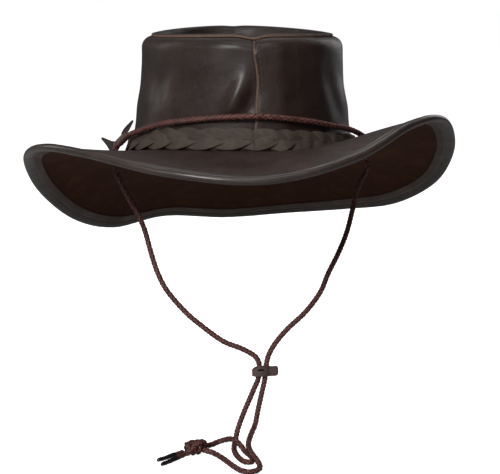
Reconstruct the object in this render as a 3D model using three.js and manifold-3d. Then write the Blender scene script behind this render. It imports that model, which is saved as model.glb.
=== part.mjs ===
// A leather outback hat with a braided band and a chin cord, in millimetres, +Z up.
// The front faces -Y. The origin is the middle of the head opening, level with the sides of the crown's base.
// Angles run round the head from 0 at the front through 90 at +X, 180 at the back and 270 at -X.
import * as THREE from 'three';
import { mergeVertices } from 'three/addons/utils/BufferGeometryUtils.js';
import Module from 'manifold-3d';

const wasm = await Module();
wasm.setup();

// Driving dimensions of the crown
const HEAD_WIDTH = 170;
const HEAD_LENGTH = 202;
const TOP_WIDTH = 147;
const TOP_LENGTH = 192;
const CROWN_RISE = 77.2;
const SIDE_DROP = 2.6;
const SHOULDER_RADIUS = 8;
const SHOULDER_TURN = 85;
const PANEL_THICK = 2;
const SEAM_LAP_ANGLE = 12;
const SEAM_EASE_ANGLE = 12;
const SEAM_DIP = 2;
const SEAM_DIP_WIDTH = 9;
const DENT_SIZE = 2.4;

// Driving dimensions of the tip
const TIP_THICK = 1.5;
const TIP_LAP = 5;
const TIP_DISH = 15;

// Driving dimensions of the brim and its binding
const SADDLE = 43;
const BRIM_WIDTH = 80;
const BRIM_THICK = 2.2;
const BINDING_THICK = 0.9;
const BINDING_TOP_LEG = 5.5;
const BINDING_UNDER_LEG = 11;
const HOLE_CLEARANCE = 1.2;
const HOLE_OUT = 9.5;
const HOLE_ANGLE_LEFT = 273;
const HOLE_ANGLE_RIGHT = 89;

// Driving dimensions of the band, its wrap and its ends
const BAND_WIDTH = 15.5;
const BAND_THICK = 3;
const WRAP_LENGTH = 12;
const WRAP_DEPTH = 7;
const WRAP_THICK = 4.8;
const TAIL_THICK = 1.8;
const TAIL_UPPER_WIDTH = 3.6;
const TAIL_UPPER_LENGTH = 10.5;
const TAIL_LOWER_WIDTH = 8;
const TAIL_LOWER_LENGTH = 15.4;

// Driving dimensions of the cord and what is on it
const CORD_DIAMETER = 4.2;
const CORD_SIDES = 8;
const CORD_STEP = 3;
const SLIDE_LENGTH = 19.4;
const SLIDE_HEIGHT = 7.4;
const SLIDE_WALL = 1.4;
const SLIDE_SLOT_SHIFT = -2.1;
const SLOT_CLEARANCE = 1.2;
const CORDS_APART = 1;
const KNOT_LENGTH = 18;
const KNOT_WIDTH = 15;
const KNOT_HEIGHT = 11.5;
const TIP_CORD_LENGTH = 24;
const TIP_CORD_DIAMETER = 3.2;

// Clearance between pieces that touch, and the angle between sections
const GAP = 0.3;
const SECTION_ANGLE = 6;

// Sections of the brim, one each 20 degrees. join is the head opening's height as a share of SADDLE. reach and
// drop place the brim's edge from the join, as shares of BRIM_WIDTH. leave and arrive are the brim's slopes at
// the join and at the edge, in degrees, rising outward.
const SECTIONS = [
  { angle: 0, join: 0.233, reach: 0.981, drop: -0.11, leave: 2, arrive: -12 },
  { angle: 20, join: 0.181, reach: 0.908, drop: 0.051, leave: 20, arrive: -8 },
  { angle: 40, join: 0.098, reach: 0.851, drop: 0.315, leave: 33, arrive: 10 },
  { angle: 60, join: 0, reach: 0.844, drop: 0.335, leave: 36, arrive: 10 },
  { angle: 80, join: -0.126, reach: 0.865, drop: 0.072, leave: 22, arrive: -8 },
  { angle: 100, join: -0.249, reach: 0.861, drop: -0.254, leave: 4, arrive: -32 },
  { angle: 120, join: -0.395, reach: 0.808, drop: -0.47, leave: -10, arrive: -48 },
  { angle: 140, join: -0.558, reach: 0.805, drop: -0.524, leave: -17, arrive: -48 },
  { angle: 160, join: -0.698, reach: 0.812, drop: -0.548, leave: -22, arrive: -46 },
  { angle: 180, join: -0.767, reach: 0.812, drop: -0.576, leave: -25, arrive: -45 },
  { angle: 200, join: -0.74, reach: 0.804, drop: -0.54, leave: -23, arrive: -45 },
  { angle: 220, join: -0.64, reach: 0.76, drop: -0.635, leave: -21, arrive: -56 },
  { angle: 240, join: -0.488, reach: 0.76, drop: -0.535, leave: -18, arrive: -52 },
  { angle: 260, join: -0.244, reach: 0.846, drop: -0.3, leave: -8, arrive: -32 },
  { angle: 280, join: -0.012, reach: 0.926, drop: -0.034, leave: -1, arrive: -4 },
  { angle: 300, join: 0.116, reach: 0.949, drop: 0.083, leave: 2, arrive: 8 },
  { angle: 320, join: 0.193, reach: 0.963, drop: 0.051, leave: -1, arrive: 8 },
  { angle: 340, join: 0.228, reach: 0.976, drop: -0.064, leave: -2, arrive: -5 },
];

// Profile of the crown's wall. height is a share of the way from the join to the shoulder, and taper is a share
// of the way from the base's size to the top's.
const WALL = [
  { height: 0, taper: 0 },
  { height: 0.25, taper: 0.47 },
  { height: 0.45, taper: 0.64 },
  { height: 0.7, taper: 0.92 },
  { height: 1, taper: 1 },
];

// Dents and folds of the wall: where each one is, its half-length and half-width as shares of CROWN_RISE, its
// turn from upright in degrees, and its depth as a share of DENT_SIZE, negative inward.
const DENTS = [
  { angle: -9, height: 0.5, turn: 27, length: 0.3, width: 0.085, depth: 0.8 },
  { angle: -1, height: 0.42, turn: 22, length: 0.24, width: 0.09, depth: -0.7 },
  { angle: -55, height: 0.62, turn: 30, length: 0.25, width: 0.12, depth: -0.6 },
  { angle: -24, height: 0.86, turn: 60, length: 0.2, width: 0.12, depth: 0.5 },
  { angle: 52, height: 0.55, turn: -25, length: 0.3, width: 0.14, depth: -0.7 },
  { angle: 150, height: 0.55, turn: 20, length: 0.3, width: 0.14, depth: -0.7 },
  { angle: 215, height: 0.6, turn: -25, length: 0.28, width: 0.13, depth: -0.6 },
];

// Lower face of the tip, from its raw edge inward. inward is a share of TIP_LAP, fall a share of TIP_DISH.
const TIP_PROFILE = [
  { inward: 0, fall: 0 },
  { inward: 1.06, fall: -0.03 },
  { inward: 1.3, fall: 0.28 },
  { inward: 1.75, fall: 0.63 },
  { inward: 2.8, fall: 0.85 },
  { inward: 6, fall: 1 },
];

// Route of the cord over the crown, from under the brim at the left to under the brim at the right
const CROWN_CORD_POINTS = [
  [-94.4, -5.8, -9.4], [-94.4, -5.8, -3.2], [-94.2, -6.2, 0.6], [-92.9, -8.6, 3.6],
  [-90.4, -14, 5.4], [-88.5, -19.6, 7.8], [-86.1, -27, 11], [-82.6, -37.5, 15],
  [-76.1, -49.7, 18.6], [-69.8, -60.1, 22], [-57, -74.5, 26.6], [-45, -84.9, 29],
  [-27.7, -95.6, 31.7], [-10.2, -102, 33], [4.3, -104, 33.3], [23, -99, 31.2],
  [42.6, -87.4, 27.5], [56.5, -74.6, 23.6], [70, -59.5, 19.8], [78.3, -48.2, 16],
  [84.6, -34.8, 12.2], [89.6, -20.6, 8.6], [93.4, -9, 5.6], [94.4, -3.2, 3],
  [94.5, -1.9, -1], [94.5, -1.9, -10.6],
];

// Route of the cord below the brim on the left, down through the slide and on to the knot
const CHIN_CORD_LEFT_POINTS = [
  [-94.4, -5.8, -9.7], [-94.4, -5.8, -13], [-93.4, -6.4, -18], [-90, -7.8, -25], [-84.5, -9.6, -36],
  [-78.2, -11.9, -47.4], [-73.4, -16, -58.8], [-69.8, -20.8, -72], [-65.1, -26.4, -87.1],
  [-58.5, -31.2, -100.3], [-44.2, -37.4, -116.7], [-34.6, -40.4, -124.8], [-17.2, -45.1, -137.1],
  [-2.9, -46.9, -142.9], [6.2, -48.2, -148.7], [8.4, -49.4, -153.5], [8.3, -50.8, -158.5],
  [7.2, -52.4, -164.8], [4.7, -53.7, -169.9], [1.7, -55.4, -176.3], [-3.7, -58, -187.8],
  [-8.6, -63, -199], [-10.3, -66.4, -205.2], [-12.2, -76.6, -207.8], [-12, -88.2, -207.8],
  [-10, -98.2, -207.8], [-6.7, -105.4, -207.8], [-2.6, -106.3, -207.8], [-0.9, -100.4, -207.8],
  [-2.4, -92.1, -207.8], [-4.9, -85, -207.6], [-9, -78.5, -203.6], [-13.4, -72.8, -202.4],
  [-18, -64.6, -205.6], [-22.6, -62.6, -207.6], [-27.4, -67.6, -207.8], [-31.4, -72.4, -206.8],
  [-35.6, -77, -205.6],
];

// Route of the cord below the brim on the right, down through the slide and on to the knot
const CHIN_CORD_RIGHT_POINTS = [
  [94.5, -1.9, -10.9], [94.5, -1.9, -14], [93.6, -2.8, -18], [90, -5, -24], [85.6, -7.8, -33],
  [82.1, -11.4, -46.8], [77, -16.7, -63.1], [69.7, -22.2, -78.3], [62.1, -27.1, -91.3],
  [55.6, -31.9, -104.4], [43.9, -37.2, -118.1], [29.6, -41.9, -129.9], [20.1, -45.8, -139.9],
  [15.6, -47.9, -147.3], [13.8, -49.4, -153.5], [13.2, -50.8, -158.6], [12.2, -52.4, -164.9],
  [9.6, -55, -175], [6.7, -57.7, -186.7], [4.4, -62.4, -195], [0.6, -71.6, -199.4],
  [-2.4, -83.7, -202], [-2.6, -94, -202.9], [-1.2, -103.5, -203.4], [1.6, -110.5, -205.6],
  [2.6, -117.5, -207.6], [-0.6, -123.6, -207.8], [-6.3, -125.7, -207.8], [-11.4, -121.4, -207.8],
  [-15.4, -113.4, -207.8], [-19.4, -103, -207.8], [-23.4, -93.4, -207.8], [-28, -87.4, -207],
  [-33, -85.4, -205.9],
];

// Where the band's wrap and its ends lie: an angle on the band, then places from the middle of its outer face
// there. Turns run from level to upright in degrees. An end's width at its shoulder is a share of its root's.
const TIE_ANGLE = 270;
const WRAP_PLACE = { out: 4.1, behind: 0, up: 4.6, turn: 46 };
const TAIL_UPPER_PLACE = { out: 0.9, behind: 0, up: 10.5, turn: 54 };
const TAIL_LOWER_PLACE = { out: 5.7, behind: WRAP_DEPTH / 2 + GAP + TAIL_THICK / 2, up: -3.4, turn: 142 };
const TAIL_SHOULDER = { along: 0.5, width: 0.6 };

// Height of the surface that the loose cord ends reach, and the knot's place and turn on it
const LOOP_LEVEL = -209.9;
const KNOT_PLACE = { x: -41.4, y: -83, turn: 8 };

// The two tips: where each leaves the knot's outline, how far out as a share of its half-size, and its heading
const TIP_PLACES = {
  cord_tip_upper: { from: 148.5, reach: 0.995, turn: 213 },
  cord_tip_lower: { from: 203.5, reach: 0.965, turn: 220 },
};
const SLIDE_PLACE = { x: 12.7, y: -50.9, z: -158.6, lean: -14 };

// Turns in degrees
const FULL_TURN = 360;
const HALF_TURN = 180;
const inTurn = (angle) => ((angle % FULL_TURN) + FULL_TURN) % FULL_TURN;
const radians = (degrees) => (degrees * Math.PI) / HALF_TURN;
const mix = (from, to, share) => from + (to - from) * share;

// The brim's sections: the share of their span that the curve's handles take, their points as shares of the way
// to the binding, and how closely a point near the join is found
const HANDLE_SHARE = 0.36;
const BRIM_STEPS = [0, 0.15, 0.32, 0.5, 0.7, 0.86];
const NEAR_JOIN = 0.5;
const HALVINGS = 24;

// Thickness of the braid at its edges, as a share of its middle's
const BAND_EDGE = 0.8;

// The value of one column of SECTIONS at any angle, on a smooth closed curve through its rows
function around(column, angle) {
  const count = SECTIONS.length;
  const place = (inTurn(angle) / FULL_TURN) * count;
  const row = Math.floor(place);
  const share = place - row;
  const [before, from, to, after] = [-1, 0, 1, 2].map((step) => {
    const near = SECTIONS[(row + step + count) % count];
    return near[column];
  });
  const linear = (to - before) * share;
  const square = (2 * before - 5 * from + 4 * to - after) * share ** 2;
  const cube = (3 * from - before - 3 * to + after) * share ** 3;
  return (2 * from + linear + square + cube) / 2;
}

// A point on an oval round the head and the direction outward there
function oval(halfWidth, halfLength, angle) {
  const sine = Math.sin(radians(angle));
  const cosine = Math.cos(radians(angle));
  const normal = new THREE.Vector2(halfLength * sine, -halfWidth * cosine).normalize();
  return { x: halfWidth * sine, y: -halfLength * cosine, normal };
}

const joinHeight = (angle) => around('join', angle) * SADDLE;

// Angle from the nearer seam's edge, positive on the side where one panel lies over the other
const lapAngle = (angle) => {
  const turned = inTurn(angle);
  return turned <= HALF_TURN
    ? Math.min(turned, HALF_TURN - turned)
    : -Math.min(turned - HALF_TURN, FULL_TURN - turned);
};

// How far the overlying panel stands out over the one below it
function seamRaise(angle) {
  const past = lapAngle(angle);
  const ease = THREE.MathUtils.clamp((past - SEAM_LAP_ANGLE) / SEAM_EASE_ANGLE, 0, 1);
  return past < 0 ? 0 : (PANEL_THICK + GAP) * (1 - ease);
}

// Height where the wall ends and the shoulder starts: lower at the sides and at each seam
function shoulderHeight(angle) {
  const fromSeam = (HEAD_WIDTH / 2) * Math.sin(radians(angle));
  const dip = SEAM_DIP * Math.exp(-((fromSeam / SEAM_DIP_WIDTH) ** 2));
  return CROWN_RISE - SIDE_DROP * Math.sin(radians(angle)) ** 2 - dip - seamRaise(angle);
}

function taperAt(height) {
  const above = WALL.findIndex((row, index) => index > 0 && height <= row.height);
  const next = above < 0 ? WALL.length - 1 : above;
  const [low, high] = [WALL[next - 1], WALL[next]];
  return mix(low.taper, high.taper, (height - low.height) / (high.height - low.height));
}

// Sum of the dents at a place on the wall, above the band
function dentAt(angle, height) {
  const arc = HEAD_LENGTH / 2;
  const clear = THREE.MathUtils.smoothstep(height, WALL[1].height, WALL[2].height);
  return DENTS.reduce((sum, dent) => {
    const turned = inTurn(angle - dent.angle + HALF_TURN) - HALF_TURN;
    const across = radians(turned) * arc;
    const up = (height - dent.height) * CROWN_RISE;
    const lean = radians(dent.turn);
    const along = up * Math.cos(lean) + across * Math.sin(lean);
    const aside = across * Math.cos(lean) - up * Math.sin(lean);
    const reach = (along / (dent.length * CROWN_RISE)) ** 2 + (aside / (dent.width * CROWN_RISE)) ** 2;
    return sum + clear * dent.depth * DENT_SIZE * Math.exp(-reach);
  }, 0);
}

// A point at a height share of the crown's wall, moved outward
function wallPoint(angle, height, out) {
  const taper = taperAt(height);
  const halfWidth = mix(HEAD_WIDTH, TOP_WIDTH, taper) / 2;
  const halfLength = mix(HEAD_LENGTH, TOP_LENGTH, taper) / 2;
  const { x, y, normal } = oval(halfWidth, halfLength, angle);
  const z = mix(joinHeight(angle), shoulderHeight(angle), height);
  return new THREE.Vector3(x + normal.x * out, y + normal.y * out, z);
}

// The same, at a height above the join in millimetres
function wallPointAt(angle, rise, out) {
  const height = rise / (shoulderHeight(angle) - joinHeight(angle));
  const point = wallPoint(angle, Math.max(height, 0), out);
  point.z = joinHeight(angle) + rise;
  return point;
}

// The brim's middle line at an angle, out and up from the join
function brimCurve(angle) {
  const leave = radians(around('leave', angle));
  const arrive = radians(around('arrive', angle));
  const start = new THREE.Vector2(0, -BRIM_THICK / 2 / Math.cos(leave));
  const end = new THREE.Vector2(around('reach', angle), around('drop', angle)).multiplyScalar(BRIM_WIDTH);
  const handle = HANDLE_SHARE * start.distanceTo(end);
  const first = new THREE.Vector2(Math.cos(leave), Math.sin(leave)).multiplyScalar(handle).add(start);
  const second = new THREE.Vector2(-Math.cos(arrive), -Math.sin(arrive)).multiplyScalar(handle).add(end);
  const curve = new THREE.CubicBezierCurve(start, first, second, end);
  return { curve, leave, arrive, endSpeed: 3 * handle };
}

// A point beside the brim's middle line, above it by rise
function besideBrim(brim, share, rise) {
  const middle = brim.curve.getPoint(share);
  const tangent = brim.curve.getTangent(share);
  return new THREE.Vector2(middle.x - tangent.y * rise, middle.y + tangent.x * rise);
}

// How high the brim's upper face is above the join, near the join
function brimRiseAt(angle, out) {
  const brim = brimCurve(angle);
  if (out <= 0) {
    return out * Math.tan(brim.leave);
  }
  let [low, high] = [0, NEAR_JOIN];
  for (let pass = 0; pass < HALVINGS; pass += 1) {
    const middle = (low + high) / 2;
    if (besideBrim(brim, middle, BRIM_THICK / 2).x < out) {
      low = middle;
    } else {
      high = middle;
    }
  }
  return besideBrim(brim, low, BRIM_THICK / 2).y;
}

// Turns a section's out and up into a point in space
function fromJoin(angle, outUp) {
  const { x, y, normal } = oval(HEAD_WIDTH / 2, HEAD_LENGTH / 2, angle);
  return new THREE.Vector3(x + normal.x * outUp.x, y + normal.y * outUp.x, joinHeight(angle) + outUp.y);
}

// Angles of the sections from one angle to another, both included
function anglesBetween(start, end) {
  const inner = [];
  for (let angle = Math.ceil(start / SECTION_ANGLE) * SECTION_ANGLE; angle < end; angle += SECTION_ANGLE) {
    inner.push(angle);
  }
  return [...new Set([start, ...inner, end])];
}

const fullTurn = () => anglesBetween(0, FULL_TURN).slice(0, -1);

// Falls from a point low and far out to one high and near the middle. It decides which way a skin's squares are
// split, so that faces that lie on each other are split alike.
const outness = (point) => Math.hypot(point.x, point.y) - point.z;

// A closed solid skinned over rings of points, capped at both ends unless it closes on itself
function skin(rings, closed) {
  const size = rings[0].length;
  const positions = rings.flat().flatMap((point) => [point.x, point.y, point.z]);
  const faces = [];
  const lastRing = closed ? rings.length : rings.length - 1;
  for (let ring = 0; ring < lastRing; ring += 1) {
    const next = (ring + 1) % rings.length;
    for (let side = 0; side < size; side += 1) {
      const [a, b] = [ring * size + side, ring * size + ((side + 1) % size)];
      const [c, d] = [next * size + ((side + 1) % size), next * size + side];
      const outward = outness(rings[ring][side]) < outness(rings[ring][(side + 1) % size]);
      const split = outward ? [[a, b, c], [a, c, d]] : [[a, b, d], [b, c, d]];
      faces.push(...split);
    }
  }
  if (!closed) {
    [0, rings.length - 1].forEach((ring) => {
      const cap = capFaces(rings[ring]).map((face) => face.map((corner) => corner + ring * size));
      faces.push(...cap.map((face) => (ring === 0 ? face.toReversed() : face)));
    });
  }
  return facesOut(positions, faces);
}

// Triangles that fill a flat ring, turning the same way as the ring
function capFaces(ring) {
  const middle = ring.reduce((sum, point) => sum.add(point), new THREE.Vector3()).divideScalar(ring.length);
  const normal = new THREE.Vector3();
  ring.forEach((point, index) => {
    const next = ring[(index + 1) % ring.length];
    normal.add(point.clone().sub(middle).cross(next.clone().sub(middle)));
  });
  normal.normalize();
  const across = ring[0].clone().sub(middle).projectOnPlane(normal).normalize();
  const up = normal.clone().cross(across);
  const flat = ring.map((point) => {
    const arm = point.clone().sub(middle);
    return new THREE.Vector2(arm.dot(across), arm.dot(up));
  });
  return THREE.ShapeUtils.triangulateShape(flat, []);
}

// A geometry whose faces all turn outward
function facesOut(positions, faces) {
  const corner = (index) => new THREE.Vector3().fromArray(positions, index * 3);
  const volume = faces.reduce((sum, [a, b, c]) => sum + corner(a).dot(corner(b).cross(corner(c))), 0);
  const turned = volume < 0 ? faces.map((face) => face.toReversed()) : faces;
  const geometry = new THREE.BufferGeometry();
  geometry.setAttribute('position', new THREE.Float32BufferAttribute(positions, 3));
  geometry.setIndex(turned.flat());
  return geometry;
}

// A three.js geometry as a solid that can be cut or joined, and back
function toSolid(geometry) {
  const bare = geometry.clone();
  bare.deleteAttribute('normal');
  bare.deleteAttribute('uv');
  const merged = mergeVertices(bare, 1e-4);
  const vertProperties = Float32Array.from(merged.attributes.position.array);
  const triVerts = Uint32Array.from(merged.index.array);
  return new wasm.Manifold(new wasm.Mesh({ numProp: 3, vertProperties, triVerts }));
}

function toGeometry(solid) {
  const mesh = solid.getMesh();
  const geometry = new THREE.BufferGeometry();
  geometry.setAttribute('position', new THREE.Float32BufferAttribute(mesh.vertProperties, mesh.numProp));
  geometry.setIndex(Array.from(mesh.triVerts));
  return geometry;
}

function material(colour, roughness) {
  return new THREE.MeshStandardMaterial({ color: colour, roughness, metalness: 0 });
}

function named(name, geometry, look) {
  const mesh = new THREE.Mesh(geometry, look);
  mesh.name = name;
  return mesh;
}

// Inner and outer faces of a crown panel at one angle, as one closed ring
function panelRing(angle, raised) {
  const raise = raised ? seamRaise(angle) : 0;
  const face = (depth) => {
    const foot = raise - depth;
    const footRise = brimRiseAt(angle, foot) + GAP;
    const wall = WALL.slice(1).map((row) => wallPoint(angle, row.height, foot + dentAt(angle, row.height)));
    const turns = [SHOULDER_TURN / 2, SHOULDER_TURN].map((turn) => shoulderPoint(angle, turn, raise, depth));
    const flange = shoulderPoint(angle, SHOULDER_TURN, raise, depth, TIP_LAP);
    return [wallPointAt(angle, footRise, foot), ...wall, ...turns, flange];
  };
  return [...face(0), ...face(PANEL_THICK).reverse()];
}

// A point on the rounded shoulder, depth below its outer face, and further along its flat flange
function shoulderPoint(angle, turn, raise, depth, along = 0) {
  const radius = SHOULDER_RADIUS + raise - depth;
  const inward = SHOULDER_RADIUS - radius * Math.cos(radians(turn)) + along * Math.sin(radians(turn));
  const up = radius * Math.sin(radians(turn)) + along * Math.cos(radians(turn));
  const point = wallPoint(angle, 1, dentAt(angle, 1) - inward);
  point.z += up;
  return point;
}

function crownPanels() {
  const leather = () => material(0x2b1d19, 0.42);
  const rightRings = anglesBetween(0, HALF_TURN).map((angle) => panelRing(angle, true));
  const leftStart = HALF_TURN - SEAM_LAP_ANGLE;
  const leftEnd = FULL_TURN + SEAM_LAP_ANGLE;
  const leftRings = anglesBetween(leftStart, leftEnd).map((angle) => panelRing(angle, false));
  return [
    named('crown_panel_right', skin(rightRings, false), leather()),
    named('crown_panel_left', skin(leftRings, false), leather()),
  ];
}

// The dished top: rings of the lower face inward to the middle, then of the upper face back out to the edge
function crownTip() {
  const angles = fullTurn();
  const ring = (row, lift) => angles.map((angle) => {
    const along = row.inward * TIP_LAP - lift.inward;
    const point = shoulderPoint(angle, SHOULDER_TURN, seamRaise(angle), 0, along);
    point.z += GAP - row.fall * TIP_DISH + lift.up;
    return point;
  });
  const lower = TIP_PROFILE.map((row) => ring(row, { inward: 0, up: 0 }));
  const upper = TIP_PROFILE.map((row, index) => ring(row, tipLift(index)));
  const rings = [...lower, ...upper.reverse()];
  const positions = rings.flat().flatMap((point) => [point.x, point.y, point.z]);
  const count = angles.length;
  const faces = [];
  const join = (from, to) => angles.forEach((angle, side) => {
    const next = (side + 1) % count;
    faces.push([from * count + side, from * count + next, to * count + next]);
    faces.push([from * count + side, to * count + next, to * count + side]);
  });
  const half = TIP_PROFILE.length;
  for (let index = 0; index < rings.length - 1; index += 1) {
    if (index !== half - 1) {
      join(index, index + 1);
    }
  }
  join(rings.length - 1, 0);
  [half - 1, half].forEach((index, face) => {
    const middle = rings[index].reduce((sum, point) => sum.add(point), new THREE.Vector3());
    const centre = positions.length / 3;
    positions.push(...middle.divideScalar(count).toArray());
    angles.forEach((angle, side) => {
      const fan = [index * count + side, index * count + ((side + 1) % count), centre];
      faces.push(face === 0 ? fan : fan.reverse());
    });
  });
  return named('crown_tip', facesOut(positions, faces), material(0x2a1c18, 0.45));
}

// How the tip's upper face stands off its lower face at a row of its profile
function tipLift(index) {
  const row = TIP_PROFILE[index];
  const before = TIP_PROFILE[Math.max(index - 1, 0)];
  const after = TIP_PROFILE[Math.min(index + 1, TIP_PROFILE.length - 1)];
  const inward = (after.inward - before.inward) * TIP_LAP;
  const up = (before.fall - after.fall) * TIP_DISH;
  const along = new THREE.Vector2(inward, up).normalize();
  const edge = row.inward === 0 ? 0 : 1;
  return { inward: along.y * TIP_THICK * edge, up: mix(TIP_THICK, along.x * TIP_THICK, edge) };
}

// Shares along the brim's curve where its sections have points: the last ones lie at the binding's legs
function brimShares(brim) {
  const legs = [BINDING_UNDER_LEG, BINDING_TOP_LEG].map((leg) => 1 - leg / brim.endSpeed);
  return [...BRIM_STEPS.map((step) => step * legs[0]), ...legs, 1];
}

function brimRing(angle) {
  const brim = brimCurve(angle);
  const shares = brimShares(brim);
  const inner = PANEL_THICK + GAP;
  const face = (rise) => {
    const line = shares.map((share) => fromJoin(angle, besideBrim(brim, share, rise)));
    const inwardEnd = besideBrim(brim, 0, rise);
    inwardEnd.x -= inner * Math.cos(brim.leave);
    inwardEnd.y -= inner * Math.sin(brim.leave);
    return [fromJoin(angle, inwardEnd), ...line];
  };
  return [...face(BRIM_THICK / 2), ...face(-BRIM_THICK / 2).reverse()];
}

// Where a cord hole goes through the brim
function holePlace(angle) {
  const { x, y, normal } = oval(HEAD_WIDTH / 2, HEAD_LENGTH / 2, angle);
  return new THREE.Vector3(x + normal.x * HOLE_OUT, y + normal.y * HOLE_OUT, joinHeight(angle));
}

function brimSheet() {
  const sheet = toSolid(skin(fullTurn().map(brimRing), true));
  const radius = CORD_DIAMETER / 2 + HOLE_CLEARANCE;
  const pierced = [HOLE_ANGLE_LEFT, HOLE_ANGLE_RIGHT].reduce((rest, angle) => {
    const punch = new THREE.CylinderGeometry(radius, radius, BRIM_WIDTH / 2, 12);
    const place = holePlace(angle);
    punch.rotateX(Math.PI / 2);
    punch.translate(place.x, place.y, place.z);
    return rest.subtract(toSolid(punch));
  }, sheet);
  return named('brim', toGeometry(pierced), material(0x2e211c, 0.55));
}

// The binding's section: a bead round the brim's edge, a short leg above and a long one below
function bindingRing(angle) {
  const brim = brimCurve(angle);
  const slot = BRIM_THICK / 2 + GAP;
  const bead = slot + BINDING_THICK;
  const share = (leg) => 1 - leg / brim.endSpeed;
  const beside = (leg, rise) => besideBrim(brim, share(leg), rise);
  const past = (along, rise) => {
    const point = besideBrim(brim, 1, rise);
    point.x += along * Math.cos(brim.arrive);
    point.y += along * Math.sin(brim.arrive);
    return point;
  };
  const corner = bead * Math.SQRT1_2;
  const section = [
    beside(BINDING_TOP_LEG, slot), beside(BINDING_TOP_LEG, bead), past(0, bead), past(corner, corner),
    past(bead, 0), past(corner, -corner), past(0, -bead), beside(BINDING_TOP_LEG, -bead),
    beside(BINDING_UNDER_LEG, -bead), beside(BINDING_UNDER_LEG, -slot), beside(BINDING_TOP_LEG, -slot),
    past(GAP, -slot), past(GAP, slot),
  ];
  return section.map((point) => fromJoin(angle, point));
}

function brimBinding() {
  return named('brim_binding', skin(fullTurn().map(bindingRing), true), material(0x3a302c, 0.5));
}

// The braid's section: flat against the crown, full in the middle, its foot following the brim
function bandRing(angle) {
  const inner = seamRaise(angle) + GAP;
  const outer = inner + BAND_THICK;
  const shy = inner + BAND_THICK * BAND_EDGE;
  const foot = (out) => brimRiseAt(angle, out) + GAP;
  return [
    wallPointAt(angle, foot(inner), inner), wallPointAt(angle, foot(shy), shy),
    wallPointAt(angle, BAND_WIDTH / 2, outer), wallPointAt(angle, BAND_WIDTH, shy),
    wallPointAt(angle, BAND_WIDTH, inner),
  ];
}

function hatBand() {
  return named('hat_band', skin(fullTurn().map(bandRing), true), material(0x4a3f39, 0.8));
}

// A pointed strap end in the upright plane across the hat, its root at the origin
function strapEnd(name, length, width, place, look) {
  const shoulder = { along: length * TAIL_SHOULDER.along, half: (width / 2) * TAIL_SHOULDER.width };
  const outline = new THREE.Shape([
    new THREE.Vector2(0, -width / 2), new THREE.Vector2(shoulder.along, -shoulder.half),
    new THREE.Vector2(length, 0), new THREE.Vector2(shoulder.along, shoulder.half),
    new THREE.Vector2(0, width / 2),
  ]);
  const strap = new THREE.ExtrudeGeometry(outline, { depth: TAIL_THICK, bevelEnabled: false });
  strap.translate(0, 0, -TAIL_THICK / 2);
  const mesh = named(name, strap, look);
  mesh.position.set(-place.out, place.behind, place.up);
  mesh.rotation.set(Math.PI / 2, 0, radians(place.turn));
  return mesh;
}

// The wrap that ties the braid at the left, and the two ends that stand out of it
function bandTie() {
  const group = new THREE.Group();
  group.position.copy(wallPointAt(TIE_ANGLE, BAND_WIDTH / 2, BAND_THICK + GAP));
  const section = new THREE.Shape();
  section.absellipse(0, 0, WRAP_THICK / 2, WRAP_DEPTH / 2, 0, 2 * Math.PI);
  const cut = { depth: WRAP_LENGTH, bevelEnabled: false, curveSegments: 5 };
  const roll = new THREE.ExtrudeGeometry(section, cut);
  roll.translate(0, 0, -WRAP_LENGTH / 2);
  const wrap = named('band_knot', roll, material(0x5a4c3c, 0.75));
  wrap.position.set(-WRAP_PLACE.out, WRAP_PLACE.behind, WRAP_PLACE.up);
  wrap.rotation.set(0, Math.PI / 2 - radians(WRAP_PLACE.turn), 0);
  const dark = () => material(0x35291f, 0.7);
  const upper = strapEnd('band_tail_upper', TAIL_UPPER_LENGTH, TAIL_UPPER_WIDTH, TAIL_UPPER_PLACE, dark());
  const lower = strapEnd('band_tail_lower', TAIL_LOWER_LENGTH, TAIL_LOWER_WIDTH, TAIL_LOWER_PLACE, dark());
  group.add(wrap, upper, lower);
  return group;
}

// A round cord along chosen points
function cord(name, points) {
  const places = points.map((point) => new THREE.Vector3(...point));
  const path = new THREE.CatmullRomCurve3(places, false, 'centripetal');
  const round = new THREE.Shape();
  const turn = (2 * Math.PI) / CORD_SIDES;
  for (let side = 0; side < CORD_SIDES; side += 1) {
    const angle = side * turn;
    const spot = [(CORD_DIAMETER / 2) * Math.cos(angle), (CORD_DIAMETER / 2) * Math.sin(angle)];
    if (side === 0) {
      round.moveTo(...spot);
    } else {
      round.lineTo(...spot);
    }
  }
  const steps = Math.ceil(path.getLength() / (CORD_DIAMETER * CORD_STEP));
  const tube = new THREE.ExtrudeGeometry(round, { steps, extrudePath: path, bevelEnabled: false });
  return named(name, tube, material(0x45282a, 0.6));
}

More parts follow.
